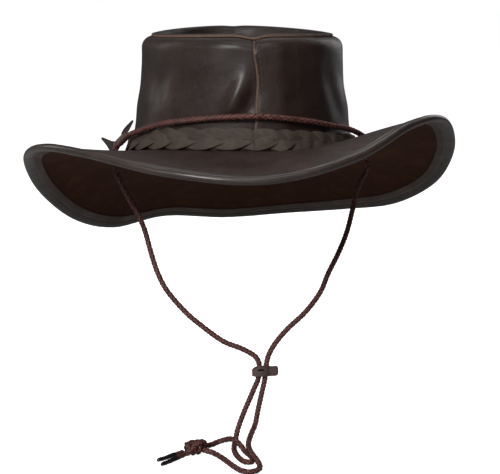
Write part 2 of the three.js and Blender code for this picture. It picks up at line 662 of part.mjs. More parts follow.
// The slide: a rounded leather bar with one slot that both cords go through
function cordSlide() {
  const slotHalf = CORD_DIAMETER / 2 + SLOT_CLEARANCE;
  const half = slotHalf + SLIDE_WALL;
  const pitch = CORD_DIAMETER + CORDS_APART;
  const outline = new THREE.Shape();
  outline.absarc(SLIDE_LENGTH / 2 - half, 0, half, -Math.PI / 2, Math.PI / 2);
  outline.absarc(half - SLIDE_LENGTH / 2, 0, half, Math.PI / 2, Math.PI * 1.5);
  const slot = new THREE.Path();
  slot.absarc(SLIDE_SLOT_SHIFT + pitch / 2, 0, slotHalf, -Math.PI / 2, Math.PI / 2);
  slot.absarc(SLIDE_SLOT_SHIFT - pitch / 2, 0, slotHalf, Math.PI / 2, Math.PI * 1.5);
  outline.holes.push(slot);
  const cut = { depth: SLIDE_HEIGHT, bevelEnabled: false, curveSegments: 6 };
  const bar = new THREE.ExtrudeGeometry(outline, cut);
  bar.translate(0, 0, -SLIDE_HEIGHT / 2);
  const slide = named('cord_slide', bar, material(0x4a3d33, 0.6));
  slide.position.set(SLIDE_PLACE.x, SLIDE_PLACE.y, SLIDE_PLACE.z);
  slide.rotation.set(radians(SLIDE_PLACE.lean), 0, 0);
  return slide;
}

// One tip of the cord, from where it leaves the knot, in the knot's own frame
function cordTip(name) {
  const place = TIP_PLACES[name];
  const rod = new THREE.CylinderGeometry(TIP_CORD_DIAMETER / 2, TIP_CORD_DIAMETER / 2, TIP_CORD_LENGTH, 10);
  rod.rotateZ(Math.PI / 2);
  rod.translate(TIP_CORD_LENGTH / 2, 0, 0);
  const tip = named(name, rod, material(0x0c0a0a, 0.25));
  const along = (KNOT_LENGTH / 2) * place.reach * Math.cos(radians(place.from));
  const across = (KNOT_WIDTH / 2) * place.reach * Math.sin(radians(place.from));
  tip.position.set(along, across, (TIP_CORD_DIAMETER - KNOT_HEIGHT) / 2);
  tip.rotation.set(0, 0, radians(place.turn));
  return tip;
}

// The end knot as one plump body, with the two tips that leave it
function cordKnot() {
  const group = new THREE.Group();
  group.position.set(KNOT_PLACE.x, KNOT_PLACE.y, LOOP_LEVEL + KNOT_HEIGHT / 2);
  group.rotation.set(0, 0, radians(KNOT_PLACE.turn));
  const body = new THREE.SphereGeometry(0.5, 14, 8);
  body.scale(KNOT_LENGTH, KNOT_WIDTH, KNOT_HEIGHT);
  const knot = named('cord_knot', toGeometry(toSolid(body)), material(0x42262a, 0.65));
  group.add(knot, cordTip('cord_tip_upper'), cordTip('cord_tip_lower'));
  return group;
}

const crown = new THREE.Group();
crown.add(...crownPanels(), crownTip());

const brimGroup = new THREE.Group();
brimGroup.add(brimSheet(), brimBinding());

const trim = new THREE.Group();
trim.add(hatBand(), bandTie());

const cords = new THREE.Group();
cords.add(cord('crown_cord', CROWN_CORD_POINTS));
cords.add(cord('chin_cord_left', CHIN_CORD_LEFT_POINTS));
cords.add(cord('chin_cord_right', CHIN_CORD_RIGHT_POINTS));
cords.add(cordSlide(), cordKnot());

const hat = new THREE.Group();
hat.add(crown, brimGroup, trim, cords);

export default hat;
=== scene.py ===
import math

import bpy
import numpy as np
from mathutils import Matrix, Vector


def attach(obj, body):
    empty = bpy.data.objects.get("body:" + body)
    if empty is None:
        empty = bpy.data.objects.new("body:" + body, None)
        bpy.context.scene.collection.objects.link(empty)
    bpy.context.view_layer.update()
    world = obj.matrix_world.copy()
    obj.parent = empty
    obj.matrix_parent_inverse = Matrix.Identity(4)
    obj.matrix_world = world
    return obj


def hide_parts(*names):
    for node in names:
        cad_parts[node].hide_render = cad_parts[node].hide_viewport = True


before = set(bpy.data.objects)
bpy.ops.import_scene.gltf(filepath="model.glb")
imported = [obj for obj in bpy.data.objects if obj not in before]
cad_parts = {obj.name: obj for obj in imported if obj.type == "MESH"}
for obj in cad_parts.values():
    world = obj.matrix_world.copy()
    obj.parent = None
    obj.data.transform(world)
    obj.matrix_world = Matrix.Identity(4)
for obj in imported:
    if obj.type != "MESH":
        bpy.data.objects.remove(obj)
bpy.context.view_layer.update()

# The camera, by the photograph's view
CAMERA_PLACE = (-0.08144, -0.9997, 0.1215)
CAMERA_PITCH = math.radians(79.3)
CAMERA_TURN = math.radians(-5)
CAMERA_LENS = 97.2

# The crown and its tip
HEAD_WIDTH = 0.17
HEAD_LENGTH = 0.202
TOP_WIDTH = 0.147
TOP_LENGTH = 0.192
CROWN_RISE = 0.0772
SIDE_DROP = 0.0026
SHOULDER_RADIUS = 0.008
SHOULDER_TURN = 85
PANEL_THICK = 0.002
SEAM_LAP_ANGLE = 12
SEAM_EASE_ANGLE = 12
SEAM_DIP = 0.002
SEAM_DIP_WIDTH = 0.009
BACK_DIP = 0.3
SKIVE_WIDTH = 0.0013
DENT_SIZE = 0.0024
TIP_THICK = 0.0015
TIP_LAP = 0.005
TIP_DISH = 0.015

# The brim, its binding and its holes
SADDLE = 0.043
BRIM_WIDTH = 0.08
BRIM_THICK = 0.0022
HOLE_CLEARANCE = 0.0012
HOLE_OUT = 0.0095
HOLE_ANGLES = (273, 89)
HANDLE_SHARE = 0.36

# The braided band
BAND_WIDTH = 0.0155
BAND_THICK = 0.003
STRIP_WIDTH = 0.0077
STRIP_THICK = 0.001

# The cord, its slide, its knot and its tips
CORD_DIAMETER = 0.0042
CORD_TWIST = 0.0105
CORD_STRANDS = 4
GAP = 0.0003

# Where the floor lies under the cord's loose ends
FLOOR_LEVEL = -0.21

# Route of the cord over the crown, from under the brim at the left to under the brim at the right
CROWN_CORD_POINTS = [
    (-0.0944, -0.0058, -0.0094), (-0.0944, -0.0058, -0.0032), (-0.0942, -0.0062, 0.0006),
    (-0.0929, -0.0086, 0.0036), (-0.0904, -0.014, 0.0054), (-0.0885, -0.0196, 0.0078),
    (-0.0861, -0.027, 0.011), (-0.0826, -0.0375, 0.015), (-0.0761, -0.0497, 0.0186),
    (-0.0698, -0.0601, 0.022), (-0.057, -0.0745, 0.0266), (-0.045, -0.0849, 0.029),
    (-0.0277, -0.0956, 0.0317), (-0.0102, -0.102, 0.033), (0.0043, -0.104, 0.0333), (0.023, -0.099, 0.0312),
    (0.0426, -0.0874, 0.0275), (0.0565, -0.0746, 0.0236), (0.07, -0.0595, 0.0198), (0.0783, -0.0482, 0.016),
    (0.0846, -0.0348, 0.0122), (0.0896, -0.0206, 0.0086), (0.0934, -0.009, 0.0056),
    (0.0944, -0.0032, 0.003), (0.0945, -0.0019, -0.001), (0.0945, -0.0019, -0.0106),
]

# Route of the cord below the brim on the left, down through the slide and on to the knot
CHIN_CORD_LEFT_POINTS = [
    (-0.0944, -0.0058, -0.0097), (-0.0944, -0.0058, -0.013), (-0.0934, -0.0064, -0.018),
    (-0.09, -0.0078, -0.025), (-0.0845, -0.0096, -0.036), (-0.0782, -0.0119, -0.0474),
    (-0.0734, -0.016, -0.0588), (-0.0698, -0.0208, -0.072), (-0.0651, -0.0264, -0.0871),
    (-0.0585, -0.0312, -0.1003), (-0.0442, -0.0374, -0.1167), (-0.0346, -0.0404, -0.1248),
    (-0.0172, -0.0451, -0.1371), (-0.0029, -0.0469, -0.1429), (0.0062, -0.0482, -0.1487),
    (0.0084, -0.0494, -0.1535), (0.0083, -0.0508, -0.1585), (0.0072, -0.0524, -0.1648),
    (0.0047, -0.0537, -0.1699), (0.0017, -0.0554, -0.1763), (-0.0037, -0.058, -0.1878),
    (-0.0086, -0.063, -0.199), (-0.0103, -0.0664, -0.2052), (-0.0122, -0.0766, -0.2078),
    (-0.012, -0.0882, -0.2078), (-0.01, -0.0982, -0.2078), (-0.0067, -0.1054, -0.2078),
    (-0.0026, -0.1063, -0.2078), (-0.0009, -0.1004, -0.2078), (-0.0024, -0.0921, -0.2078),
    (-0.0049, -0.085, -0.2076), (-0.009, -0.0785, -0.2036), (-0.0134, -0.0728, -0.2024),
    (-0.018, -0.0646, -0.2056), (-0.0226, -0.0626, -0.2076), (-0.0274, -0.0676, -0.2078),
    (-0.0314, -0.0724, -0.2068), (-0.0356, -0.077, -0.2056),
    (-0.0392, -0.0798, -0.2046),
]

# Route of the cord below the brim on the right, down through the slide and on to the knot
CHIN_CORD_RIGHT_POINTS = [
    (0.0945, -0.0019, -0.0109), (0.0945, -0.0019, -0.014), (0.0936, -0.0028, -0.018),
    (0.09, -0.005, -0.024), (0.0856, -0.0078, -0.033), (0.0821, -0.0114, -0.0468),
    (0.077, -0.0167, -0.0631), (0.0697, -0.0222, -0.0783), (0.0621, -0.0271, -0.0913),
    (0.0556, -0.0319, -0.1044), (0.0439, -0.0372, -0.1181), (0.0296, -0.0419, -0.1299),
    (0.0201, -0.0458, -0.1399), (0.0156, -0.0479, -0.1473), (0.0138, -0.0494, -0.1535),
    (0.0132, -0.0508, -0.1586), (0.0122, -0.0524, -0.1649), (0.0096, -0.055, -0.175),
    (0.0067, -0.0577, -0.1867), (0.0044, -0.0624, -0.195), (0.0006, -0.0716, -0.1994),
    (-0.0024, -0.0837, -0.202), (-0.0026, -0.094, -0.2029), (-0.0012, -0.1035, -0.2034),
    (0.0016, -0.1105, -0.2056), (0.0026, -0.1175, -0.2076), (-0.0006, -0.1236, -0.2078),
    (-0.0063, -0.1257, -0.2078), (-0.0114, -0.1214, -0.2078), (-0.0154, -0.1134, -0.2078),
    (-0.0194, -0.103, -0.2078), (-0.0234, -0.0934, -0.2078), (-0.028, -0.0874, -0.207),
    (-0.033, -0.0854, -0.2059),
    (-0.0384, -0.0842, -0.2048),
]

# Sections of the brim, one each 20 degrees round the head from its front. join is the head opening's height
# as a share of SADDLE. reach and drop place the brim's edge from the join, as shares of BRIM_WIDTH. leave and
# arrive are the brim's slopes at the join and at the edge, in degrees, rising outward.
SECTION_COLUMNS = ("join", "reach", "drop", "leave", "arrive")
SECTIONS = [
    (0.233, 0.981, -0.11, 2, -12),
    (0.181, 0.908, 0.051, 20, -8),
    (0.098, 0.851, 0.315, 33, 10),
    (0, 0.844, 0.335, 36, 10),
    (-0.126, 0.865, 0.072, 22, -8),
    (-0.249, 0.861, -0.254, 4, -32),
    (-0.395, 0.808, -0.47, -10, -48),
    (-0.558, 0.805, -0.524, -17, -48),
    (-0.698, 0.812, -0.548, -22, -46),
    (-0.767, 0.812, -0.576, -25, -45),
    (-0.74, 0.804, -0.54, -23, -45),
    (-0.64, 0.76, -0.635, -21, -56),
    (-0.488, 0.76, -0.535, -18, -52),
    (-0.244, 0.846, -0.3, -8, -32),
    (-0.012, 0.926, -0.034, -1, -4),
    (0.116, 0.949, 0.083, 2, 8),
    (0.193, 0.963, 0.051, -1, 8),
    (0.228, 0.976, -0.064, -2, -5),
]

# How the crown's wall leans in with its height: 0 is the head opening's size, 1 the top's
WALL_HEIGHTS = (0, 0.25, 0.45, 0.7, 1)
WALL_TAPERS = (0, 0.47, 0.64, 0.92, 1)

# Soft dents of the wall, by angle, height, turn in degrees, length, width and depth. Height, length and width
# are shares of CROWN_RISE, depth of DENT_SIZE, positive where the leather stands out.
DENT_COLUMNS = ("angle", "height", "turn", "length", "width", "depth")
DENTS = [
    (-9.4, 0.5, 27, 0.34, 0.1, 1.5),
    (-2.4, 0.42, 22, 0.26, 0.09, -0.8),
    (-55, 0.62, 30, 0.25, 0.12, -0.6),
    (-24, 0.86, 60, 0.2, 0.12, 0.5),
    (52, 0.55, -25, 0.3, 0.14, -0.7),
    (150, 0.55, 20, 0.3, 0.14, -0.7),
    (215, 0.6, -25, 0.28, 0.13, -0.6),
]

# How the front seam wanders up the wall, in degrees by height share
SEAM_BEND_HEIGHTS = (0, 0.3, 0.5, 0.72, 0.9, 1)
SEAM_BENDS = (0, 0.35, 0.85, 1.6, 0.7, -0.3)

# The dished tip from its raw edge to its middle: inward in TIP_LAP, fall in TIP_DISH
TIP_INWARD = (0, 1.06, 1.3, 1.75, 2.8, 6)
TIP_FALL = (0, 0.01, 0.28, 0.63, 0.85, 1)

# The binding's section: how far in from the brim's edge, and how far above the middle of the brim's leather
BINDING_ABOVE = [
    (0.0055, 0.0014),
    (0.0055, 0.0019),
    (0.0053, 0.0022),
    (0.0048, 0.0023),
    (0.0043, 0.0019),
    (0.0036, 0.0021),
    (0.0024, 0.0026),
    (0.001, 0.0027),
]
BINDING_BELOW = [
    (0.0012, -0.0026),
    (0.0028, -0.0025),
    (0.0042, -0.0022),
    (0.0049, -0.0018),
    (0.0052, -0.0017),
    (0.0056, -0.0019),
    (0.0066, -0.0021),
    (0.0085, -0.002),
    (0.0103, -0.002),
    (0.0108, -0.0019),
    (0.011, -0.0017),
    (0.011, -0.0014),
]
BINDING_BEAD = 0.0026

# Where the braid's lower lobes start, in metres round the crown from its front, negative to the left
LOBE_STARTS = (
    -0.1015, -0.0792, -0.0604, -0.0399, -0.0192, -0.0005,
    0.0165, 0.0295, 0.0455, 0.0592, 0.0729, 0.0864,
)
LOBE_COUNT = 33
WEAVE_TURNS = (0, 60, 90, 120, 180, 240, 270, 300, 360)
WEAVE_HEIGHTS = (0, -1, 0, 1, 0, -1, 0, 1, 0)

# The wrap, the slide and the knot: where they are and how they are turned
WRAP_PLACE = (-0.0902, 0, 0.0068)
WRAP_TURN = 46
SLIDE_PLACE = (0.0127, -0.0509, -0.1586)
SLIDE_LEAN = math.radians(-14)
SLIDE_DEPTH = 0.0094
SLIDE_HEIGHT = 0.0074
SLIDE_SLOT_SHIFT = -0.0021
KNOT_PLACE = (-0.0414, -0.083, -0.20415)
KNOT_TURN = 8
TIP_LENGTH = 0.024


# Shape of the hat, as in its CAD source

def smooth_curve(knots, values, place):
    """A smooth curve through values at rising knots, read at any place between them."""
    knots = np.asarray(knots, float)
    values = np.asarray(values, float)
    slopes = np.gradient(values, knots)
    step = np.clip(np.searchsorted(knots, place, side="right") - 1, 0, len(knots) - 2)
    span = knots[step + 1] - knots[step]
    share = np.clip((place - knots[step]) / span, 0, 1)
    rise = values[step + 1] - values[step]
    start = slopes[step] * span
    end = slopes[step + 1] * span
    curve = 3 * rise - 2 * start - end + share * (start + end - 2 * rise)
    return values[step] + share * (start + share * curve)


def around(column, angle):
    """One column of SECTIONS at any angle, on a smooth closed curve through its rows."""
    rows = np.array(SECTIONS)[:, SECTION_COLUMNS.index(column)]
    place = np.mod(angle, 360) / 360 * len(rows)
    row = np.floor(place).astype(int)
    share = place - row
    before, start, end, after = (rows[(row + step) % len(rows)] for step in (-1, 0, 1, 2))
    linear = (end - before) * share
    square = (2 * before - 5 * start + 4 * end - after) * share**2
    cube = (3 * start - before - 3 * end + after) * share**3
    return (2 * start + linear + square + cube) / 2


def oval(half_width, half_length, angle):
    """Points on an oval round the head, and the direction outward there."""
    sine = np.sin(np.radians(angle))
    cosine = np.cos(np.radians(angle))
    size = np.hypot(half_length * sine, half_width * cosine)
    return half_width * sine, -half_length * cosine, half_length * sine / size, -half_width * cosine / size


def join_height(angle):
    return around("join", angle) * SADDLE


def seam_raise(angle):
    """How far the overlying panel stands out over the one below it."""
    turned = np.mod(angle, 360)
    past = np.minimum(turned, 180 - turned)
    ease = np.clip((past - SEAM_LAP_ANGLE) / SEAM_EASE_ANGLE, 0, 1)
    ease = ease * ease * (3 - 2 * ease)
    return np.where(turned <= 180, (PANEL_THICK + GAP) * (1 - ease), 0)


def shoulder_height(angle):
    """Height where the wall ends and the shoulder starts: lower at the sides and at each seam."""
    sine = np.sin(np.radians(angle))
    depth = np.where(np.cos(np.radians(angle)) > 0, SEAM_DIP, SEAM_DIP * BACK_DIP)
    dip = depth * np.exp(-((HEAD_WIDTH / 2 * sine / SEAM_DIP_WIDTH) ** 2))
    return CROWN_RISE - SIDE_DROP * sine**2 - dip - seam_raise(angle)


def dent_at(angle, height):
    """Sum of the dents at a place on the wall, above the band."""
    clear = np.clip((height - 0.25) / 0.2, 0, 1)
    total = np.zeros(np.broadcast(angle, height).shape)
    for row in DENTS:
        dent = dict(zip(DENT_COLUMNS, row))
        turned = np.mod(angle - dent["angle"] + 180, 360) - 180
        across = np.radians(turned) * HEAD_LENGTH / 2
        up = (height - dent["height"]) * CROWN_RISE
        lean = math.radians(dent["turn"])
        along = up * math.cos(lean) + across * math.sin(lean)
        aside = across * math.cos(lean) - up * math.sin(lean)
        reach = (along / (dent["length"] * CROWN_RISE)) ** 2 + (aside / (dent["width"] * CROWN_RISE)) ** 2
        total += dent["depth"] * DENT_SIZE * np.exp(-reach)
    return total * clear * clear * (3 - 2 * clear)


def wall_point(angle, height, out):
    """A point at a height share of the crown's wall, moved outward."""
    taper = smooth_curve(WALL_HEIGHTS, WALL_TAPERS, np.clip(height, 0, 1))
    half_width = (HEAD_WIDTH + (TOP_WIDTH - HEAD_WIDTH) * taper) / 2
    half_length = (HEAD_LENGTH + (TOP_LENGTH - HEAD_LENGTH) * taper) / 2
    x, y, out_x, out_y = oval(half_width, half_length, angle)
    foot = join_height(angle)
    z = foot + (shoulder_height(angle) - foot) * height
    return x + out_x * out, y + out_y * out, z


def wall_height_at(angle, rise):
    """The height share of a point that is rise above the join."""
    return rise / (shoulder_height(angle) - join_height(angle))


def shoulder_point(angle, turn, lift, depth, along):
    """A point on the rounded shoulder, depth below its outer face, and further along its flat flange."""
    radius = SHOULDER_RADIUS + lift - depth
    sine = np.sin(np.radians(turn))
    cosine = np.cos(np.radians(turn))
    inward = SHOULDER_RADIUS - radius * cosine + along * sine
    up = radius * sine + along * cosine
    x, y, z = wall_point(angle, np.ones_like(angle), dent_at(angle, np.ones_like(angle)) - inward)
    return x, y, z + up


def beside_brim(angle, share, rise):
    """Out and up from the join of a point beside the brim's middle line, above it by rise."""
    leave = np.radians(around("leave", angle))
    arrive = np.radians(around("arrive", angle))
    start = np.array([np.zeros_like(leave), -BRIM_THICK / 2 / np.cos(leave)])
    end = np.array([around("reach", angle), around("drop", angle)]) * BRIM_WIDTH
    handle = HANDLE_SHARE * np.hypot(*(end - start))
    first = start + handle * np.array([np.cos(leave), np.sin(leave)])
    second = end - handle * np.array([np.cos(arrive), np.sin(arrive)])
    back = 1 - share
    middle = back**3 * start + 3 * back**2 * share * first + 3 * back * share**2 * second + share**3 * end
    along = back**2 * (first - start) + 2 * back * share * (second - first) + share**2 * (end - second)
    along = along / np.hypot(*along)
    return middle[0] - along[1] * rise, middle[1] + along[0] * rise


def brim_end_speed(angle):
    """Length of the brim's curve for each whole share at its edge."""
    leave = np.radians(around("leave", angle))
    start = np.array([np.zeros_like(leave), -BRIM_THICK / 2 / np.cos(leave)])
    end = np.array([around("reach", angle), around("drop", angle)]) * BRIM_WIDTH
    return 3 * HANDLE_SHARE * np.hypot(*(end - start))


def from_join(angle, out, up):
    """Turns a section's out and up into a point in space."""
    x, y, out_x, out_y = oval(HEAD_WIDTH / 2, HEAD_LENGTH / 2, angle)
    return x + out_x * out, y + out_y * out, join_height(angle) + up


def brim_rise(angle, out):
    """How high the brim's upper face is above the join, near the join."""
    low = np.zeros(np.shape(angle))
    high = np.full(np.shape(angle), 0.5)
    for _ in range(18):
        middle = (low + high) / 2
        short = beside_brim(angle, middle, BRIM_THICK / 2)[0] < out
        low = np.where(short, middle, low)
        high = np.where(short, high, middle)
    inside = out * np.tan(np.radians(around("leave", angle)))
    return np.where(out <= 0, inside, beside_brim(angle, low, BRIM_THICK / 2)[1])


# Making and finishing a piece

def choose_nothing():
    if bpy.context.object and bpy.context.object.mode != "OBJECT":
        bpy.ops.object.mode_set(mode="OBJECT")
    bpy.ops.object.select_all(action="DESELECT")


def choose(piece, *others):
    choose_nothing()
    for other in others:
        other.select_set(True)
    piece.select_set(True)
    bpy.context.view_layer.objects.active = piece


def named(piece, name):
    piece.name = name
    piece.data.name = name
    return piece


def settle(piece):
    """Moves a piece's place, turn and size into its mesh."""
    choose(piece)
    bpy.ops.object.transform_apply(location=True, rotation=True, scale=True)


def close_up(piece, reach=1e-6):
    """Merges points that meet, and turns all faces outward."""
    choose(piece)
    bpy.ops.object.mode_set(mode="EDIT")
    bpy.ops.mesh.select_all(action="SELECT")
    bpy.ops.mesh.remove_doubles(threshold=reach)
    bpy.ops.mesh.normals_make_consistent(inside=False)
    bpy.ops.object.mode_set(mode="OBJECT")


def join_pieces(name, pieces):
    choose(pieces[0], *pieces[1:])
    if len(pieces) > 1:
        bpy.ops.object.join()
    return named(pieces[0], name)


def soften(piece, angle=50):
    choose(piece)
    bpy.ops.object.shade_smooth_by_angle(angle=math.radians(angle))


def hide_sheet(name, columns, rows, place, finish=None):
    """A sheet of squares shaped by place(u, v), with its faces' finishes given by finish(u, v)."""
    choose_nothing()
    bpy.ops.mesh.primitive_grid_add(x_subdivisions=columns, y_subdivisions=rows, size=1)
    sheet = named(bpy.context.object, name)
    mesh = sheet.data
    if finish is not None:
        middles = np.empty(len(mesh.polygons) * 3)
        mesh.polygons.foreach_get("center", middles)
        middles = middles.reshape(-1, 3) + 0.5
        kinds = np.asarray(finish(middles[:, 0], middles[:, 1]), dtype=np.int32)
        mesh.polygons.foreach_set("material_index", kinds)
    spots = np.empty(len(mesh.vertices) * 3)
    mesh.vertices.foreach_get("co", spots)
    spots = spots.reshape(-1, 3) + 0.5
    shaped = np.stack(place(spots[:, 0], spots[:, 1]), axis=1)
    mesh.vertices.foreach_set("co", shaped.ravel())
    mesh.update()
    close_up(sheet)
    return sheet


def dress(piece, slot, *finishes):
    """Gives a piece its finishes and its body. Its slot is not used."""
    kinds = np.zeros(len(piece.data.polygons), dtype=np.int32)
    piece.data.polygons.foreach_get("material_index", kinds)
    piece.data.materials.clear()
    for finish in finishes:
        piece.data.materials.append(finish)
    piece.data.polygons.foreach_set("material_index", np.minimum(kinds, len(finishes) - 1))
    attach(piece, "root")
    return piece


# The braided cord

def even_route(points, step):
    """Points a step apart on a smooth curve through the given ones."""
    knots = [np.array(points[0]) * 2 - np.array(points[1]), *map(np.array, points)]
    knots.append(np.array(points[-1]) * 2 - np.array(points[-2]))
    dense = []
    for first, start, end, last in zip(knots, knots[1:], knots[2:], knots[3:]):
        t1 = np.linalg.norm(start - first) ** 0.5
        t2 = t1 + np.linalg.norm(end - start) ** 0.5
        t3 = t2 + np.linalg.norm(last - end) ** 0.5
        t = np.linspace(t1, t2, 24, endpoint=False)[:, None]
        a1 = first + (start - first) * t / t1
        a2 = start + (end - start) * (t - t1) / (t2 - t1)
        a3 = end + (last - end) * (t - t2) / (t3 - t2)
        b1 = a1 + (a2 - a1) * t / t2
        b2 = a2 + (a3 - a2) * (t - t1) / (t3 - t1)
        dense.append(b1 + (b2 - b1) * (t - t1) / (t2 - t1))
    dense = np.vstack([*dense, knots[-2]])
    run = np.concatenate([[0], np.cumsum(np.linalg.norm(np.diff(dense, axis=0), axis=1))])
    count = int(math.ceil(run[-1] / step))
    even = np.linspace(0, run[-1], count + 1)
    return np.stack([np.interp(even, run, dense[:, axis]) for axis in range(3)], axis=1)


def frames_along(route):
    """Two directions square to the route at each of its points, that don't twist round it."""
    ahead = np.gradient(route, axis=0)
    ahead /= np.linalg.norm(ahead, axis=1)[:, None]
    side = np.cross(ahead[0], (0.31, 0.2, 0.93))
    side /= np.linalg.norm(side)
    sides = []
    for direction in ahead:
        side = side - direction * side.dot(direction)
        side /= np.linalg.norm(side)
        sides.append(side)
    sides = np.array(sides)
    return sides, np.cross(ahead, sides)


def cord_strand(name, route, hand, start, size=1.0):
    """One flat strand of the round braid, wound over two and under two along the route."""
    sides, ups = frames_along(route)
    run = np.concatenate([[0], np.cumsum(np.linalg.norm(np.diff(route, axis=0), axis=1))])
    turn = hand * 2 * math.pi * run / (CORD_TWIST * size) + start
    out = np.cos(turn)[:, None] * sides + np.sin(turn)[:, None] * ups
    weave = hand * np.cos(4 * math.pi * run / (CORD_TWIST * size) + math.pi / 4)
    middle = route + out * (CORD_DIAMETER * size * (0.33 + 0.09 * weave))[:, None]
    ahead = np.gradient(middle, axis=0)
    ahead /= np.linalg.norm(ahead, axis=1)[:, None]
    flat = np.cross(ahead, out)
    half_width = CORD_DIAMETER * size * 0.2
    half_thick = CORD_DIAMETER * size * 0.095
    last = len(route) - 1

    def place(u, v):
        step = np.rint(u * last).astype(int)
        round_it = v * 2 * math.pi
        open_end = np.where((step == 0) | (step == last), 0, 1)[:, None]
        across = (half_width * np.cos(round_it))[:, None] * flat[step]
        thick = (half_thick * np.sin(round_it))[:, None] * out[step]
        return (middle[step] + (across + thick) * open_end).T

    return hide_sheet(name, last, 8, place)


def cord_core(name, route, size=1.0):
    """The smooth core that closes the braid's gaps."""
    sides, ups = frames_along(route)
    last = len(route) - 1
    radius = CORD_DIAMETER * size * 0.3

    def place(u, v):
        step = np.rint(u * last).astype(int)
        round_it = v * 2 * math.pi
        open_end = np.where((step == 0) | (step == last), 0, radius)
        across = (open_end * np.cos(round_it))[:, None] * sides[step]
        up = (open_end * np.sin(round_it))[:, None] * ups[step]
        return (route[step] + across + up).T

    return hide_sheet(name, last, 8, place)


def braided_cord(name, points, step=0.0007, size=1.0):
    """A round braid of eight strands along points, and the route that it follows."""
    route = even_route(points, step * size)
    strands = [cord_core(name, route, size)]
    for strand in range(CORD_STRANDS):
        start = strand * 2 * math.pi / CORD_STRANDS
        strands.append(cord_strand(f"{name}_strand", route, 1, start, size))
        strands.append(cord_strand(f"{name}_strand", route, -1, start, size))
    cord = join_pieces(name, strands)
    choose(cord)
    bpy.ops.object.shade_smooth()
    return cord, route


# The crown

def panel_sheet(name, start, end, raised):
    """One side panel of the crown: outer face, turned-in flange and inner face, skived at both ends."""
    skive = math.degrees(SKIVE_WIDTH / (HEAD_WIDTH / 2))
    middle = np.arange(math.ceil(start + 1.5), end - 1, 0.9)
    angles = np.array([start, start, start + skive * 0.5, start + skive, *middle])
    angles = np.array([*angles, end - skive, end - skive * 0.5, end, end])
    sunk = np.zeros(len(angles))
    sunk[:4] = (1, 0.8, 0.42, 0.04)
    sunk[-4:] = (0.04, 0.42, 0.8, 1)
    last = len(angles) - 1
    wall_rows, turn_rows, flange_rows = 44, 8, 2
    outer_rows = wall_rows + turn_rows + flange_rows
    rows = 2 * outer_rows + 1

    def place(u, v):
        column = np.rint(u * last).astype(int)
        row = np.rint(v * rows).astype(int)
        inside = row > outer_rows
        station = np.where(inside, rows - row, row)
        angle = angles[column]
        depth = np.where(inside, PANEL_THICK, PANEL_THICK * sunk[column])
        lift = seam_raise(angle) if raised else np.zeros_like(angle)
        foot = brim_rise(angle, lift - depth) + GAP
        full = shoulder_height(angle) - join_height(angle)
        share = np.clip(station / wall_rows, 0, 1)
        height = (foot + share * (full - foot)) / full
        if raised:
            angle = angle + seam_bend(angle, height)
        x, y, z = wall_point(angle, height, lift - depth + dent_at(angle, height) + relief_at(angle, height))
        turn = np.clip((station - wall_rows) / turn_rows, 0, 1) * SHOULDER_TURN
        along = np.clip((station - wall_rows - turn_rows) / flange_rows, 0, 1) * TIP_LAP
        over_x, over_y, over_z = shoulder_point(angle, turn, lift, depth, along)
        over = station > wall_rows
        return np.where(over, over_x, x), np.where(over, over_y, y), np.where(over, over_z, z)

    def finish(u, v):
        column = u * last
        edge = (column > 1) & (column < 3) | (column < last - 1) & (column > last - 3)
        return np.where(edge & (v < 0.5), 1, 0)

    panel = hide_sheet(name, last, rows, place, finish)
    soften(panel)
    return panel


def seam_bend(angle, height):
    """How far the front seam of the overlying panel wanders from a straight line, in degrees."""
    near = np.clip(1 - np.abs(np.mod(angle + 180, 360) - 180) / 14, 0, 1)
    return near * near * (3 - 2 * near) * smooth_curve(SEAM_BEND_HEIGHTS, SEAM_BENDS, np.clip(height, 0, 1))


def relief_at(angle, height):
    """Slight waves of the leather above the band, the same for both panels."""
    wave = np.sin(np.radians(angle * 3.1 + 40) + 2.1 * height)
    wave = wave * np.sin(5.3 * height + np.radians(angle * 1.7))
    fine = np.sin(np.radians(angle * 9.7 + 70) - 7.3 * height)
    fine = fine * np.sin(11.9 * height - np.radians(angle * 5.2))
    fade = np.clip((height - 0.28) / 0.2, 0, 1) * np.clip((1 - height) / 0.2, 0, 1)
    return fade * (0.00045 * wave + 0.00022 * fine)


def make_crown_panels():
    right = panel_sheet("crown_panel_right_leather", 0, 180, True)
    left = panel_sheet("crown_panel_left_leather", 180 - SEAM_LAP_ANGLE, 360 + SEAM_LAP_ANGLE, False)
    for panel, node in ((right, "crown_panel_right"), (left, "crown_panel_left")):
        dress(panel, "crown_leather", crown_leather(), raw_edge())
        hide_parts(node)


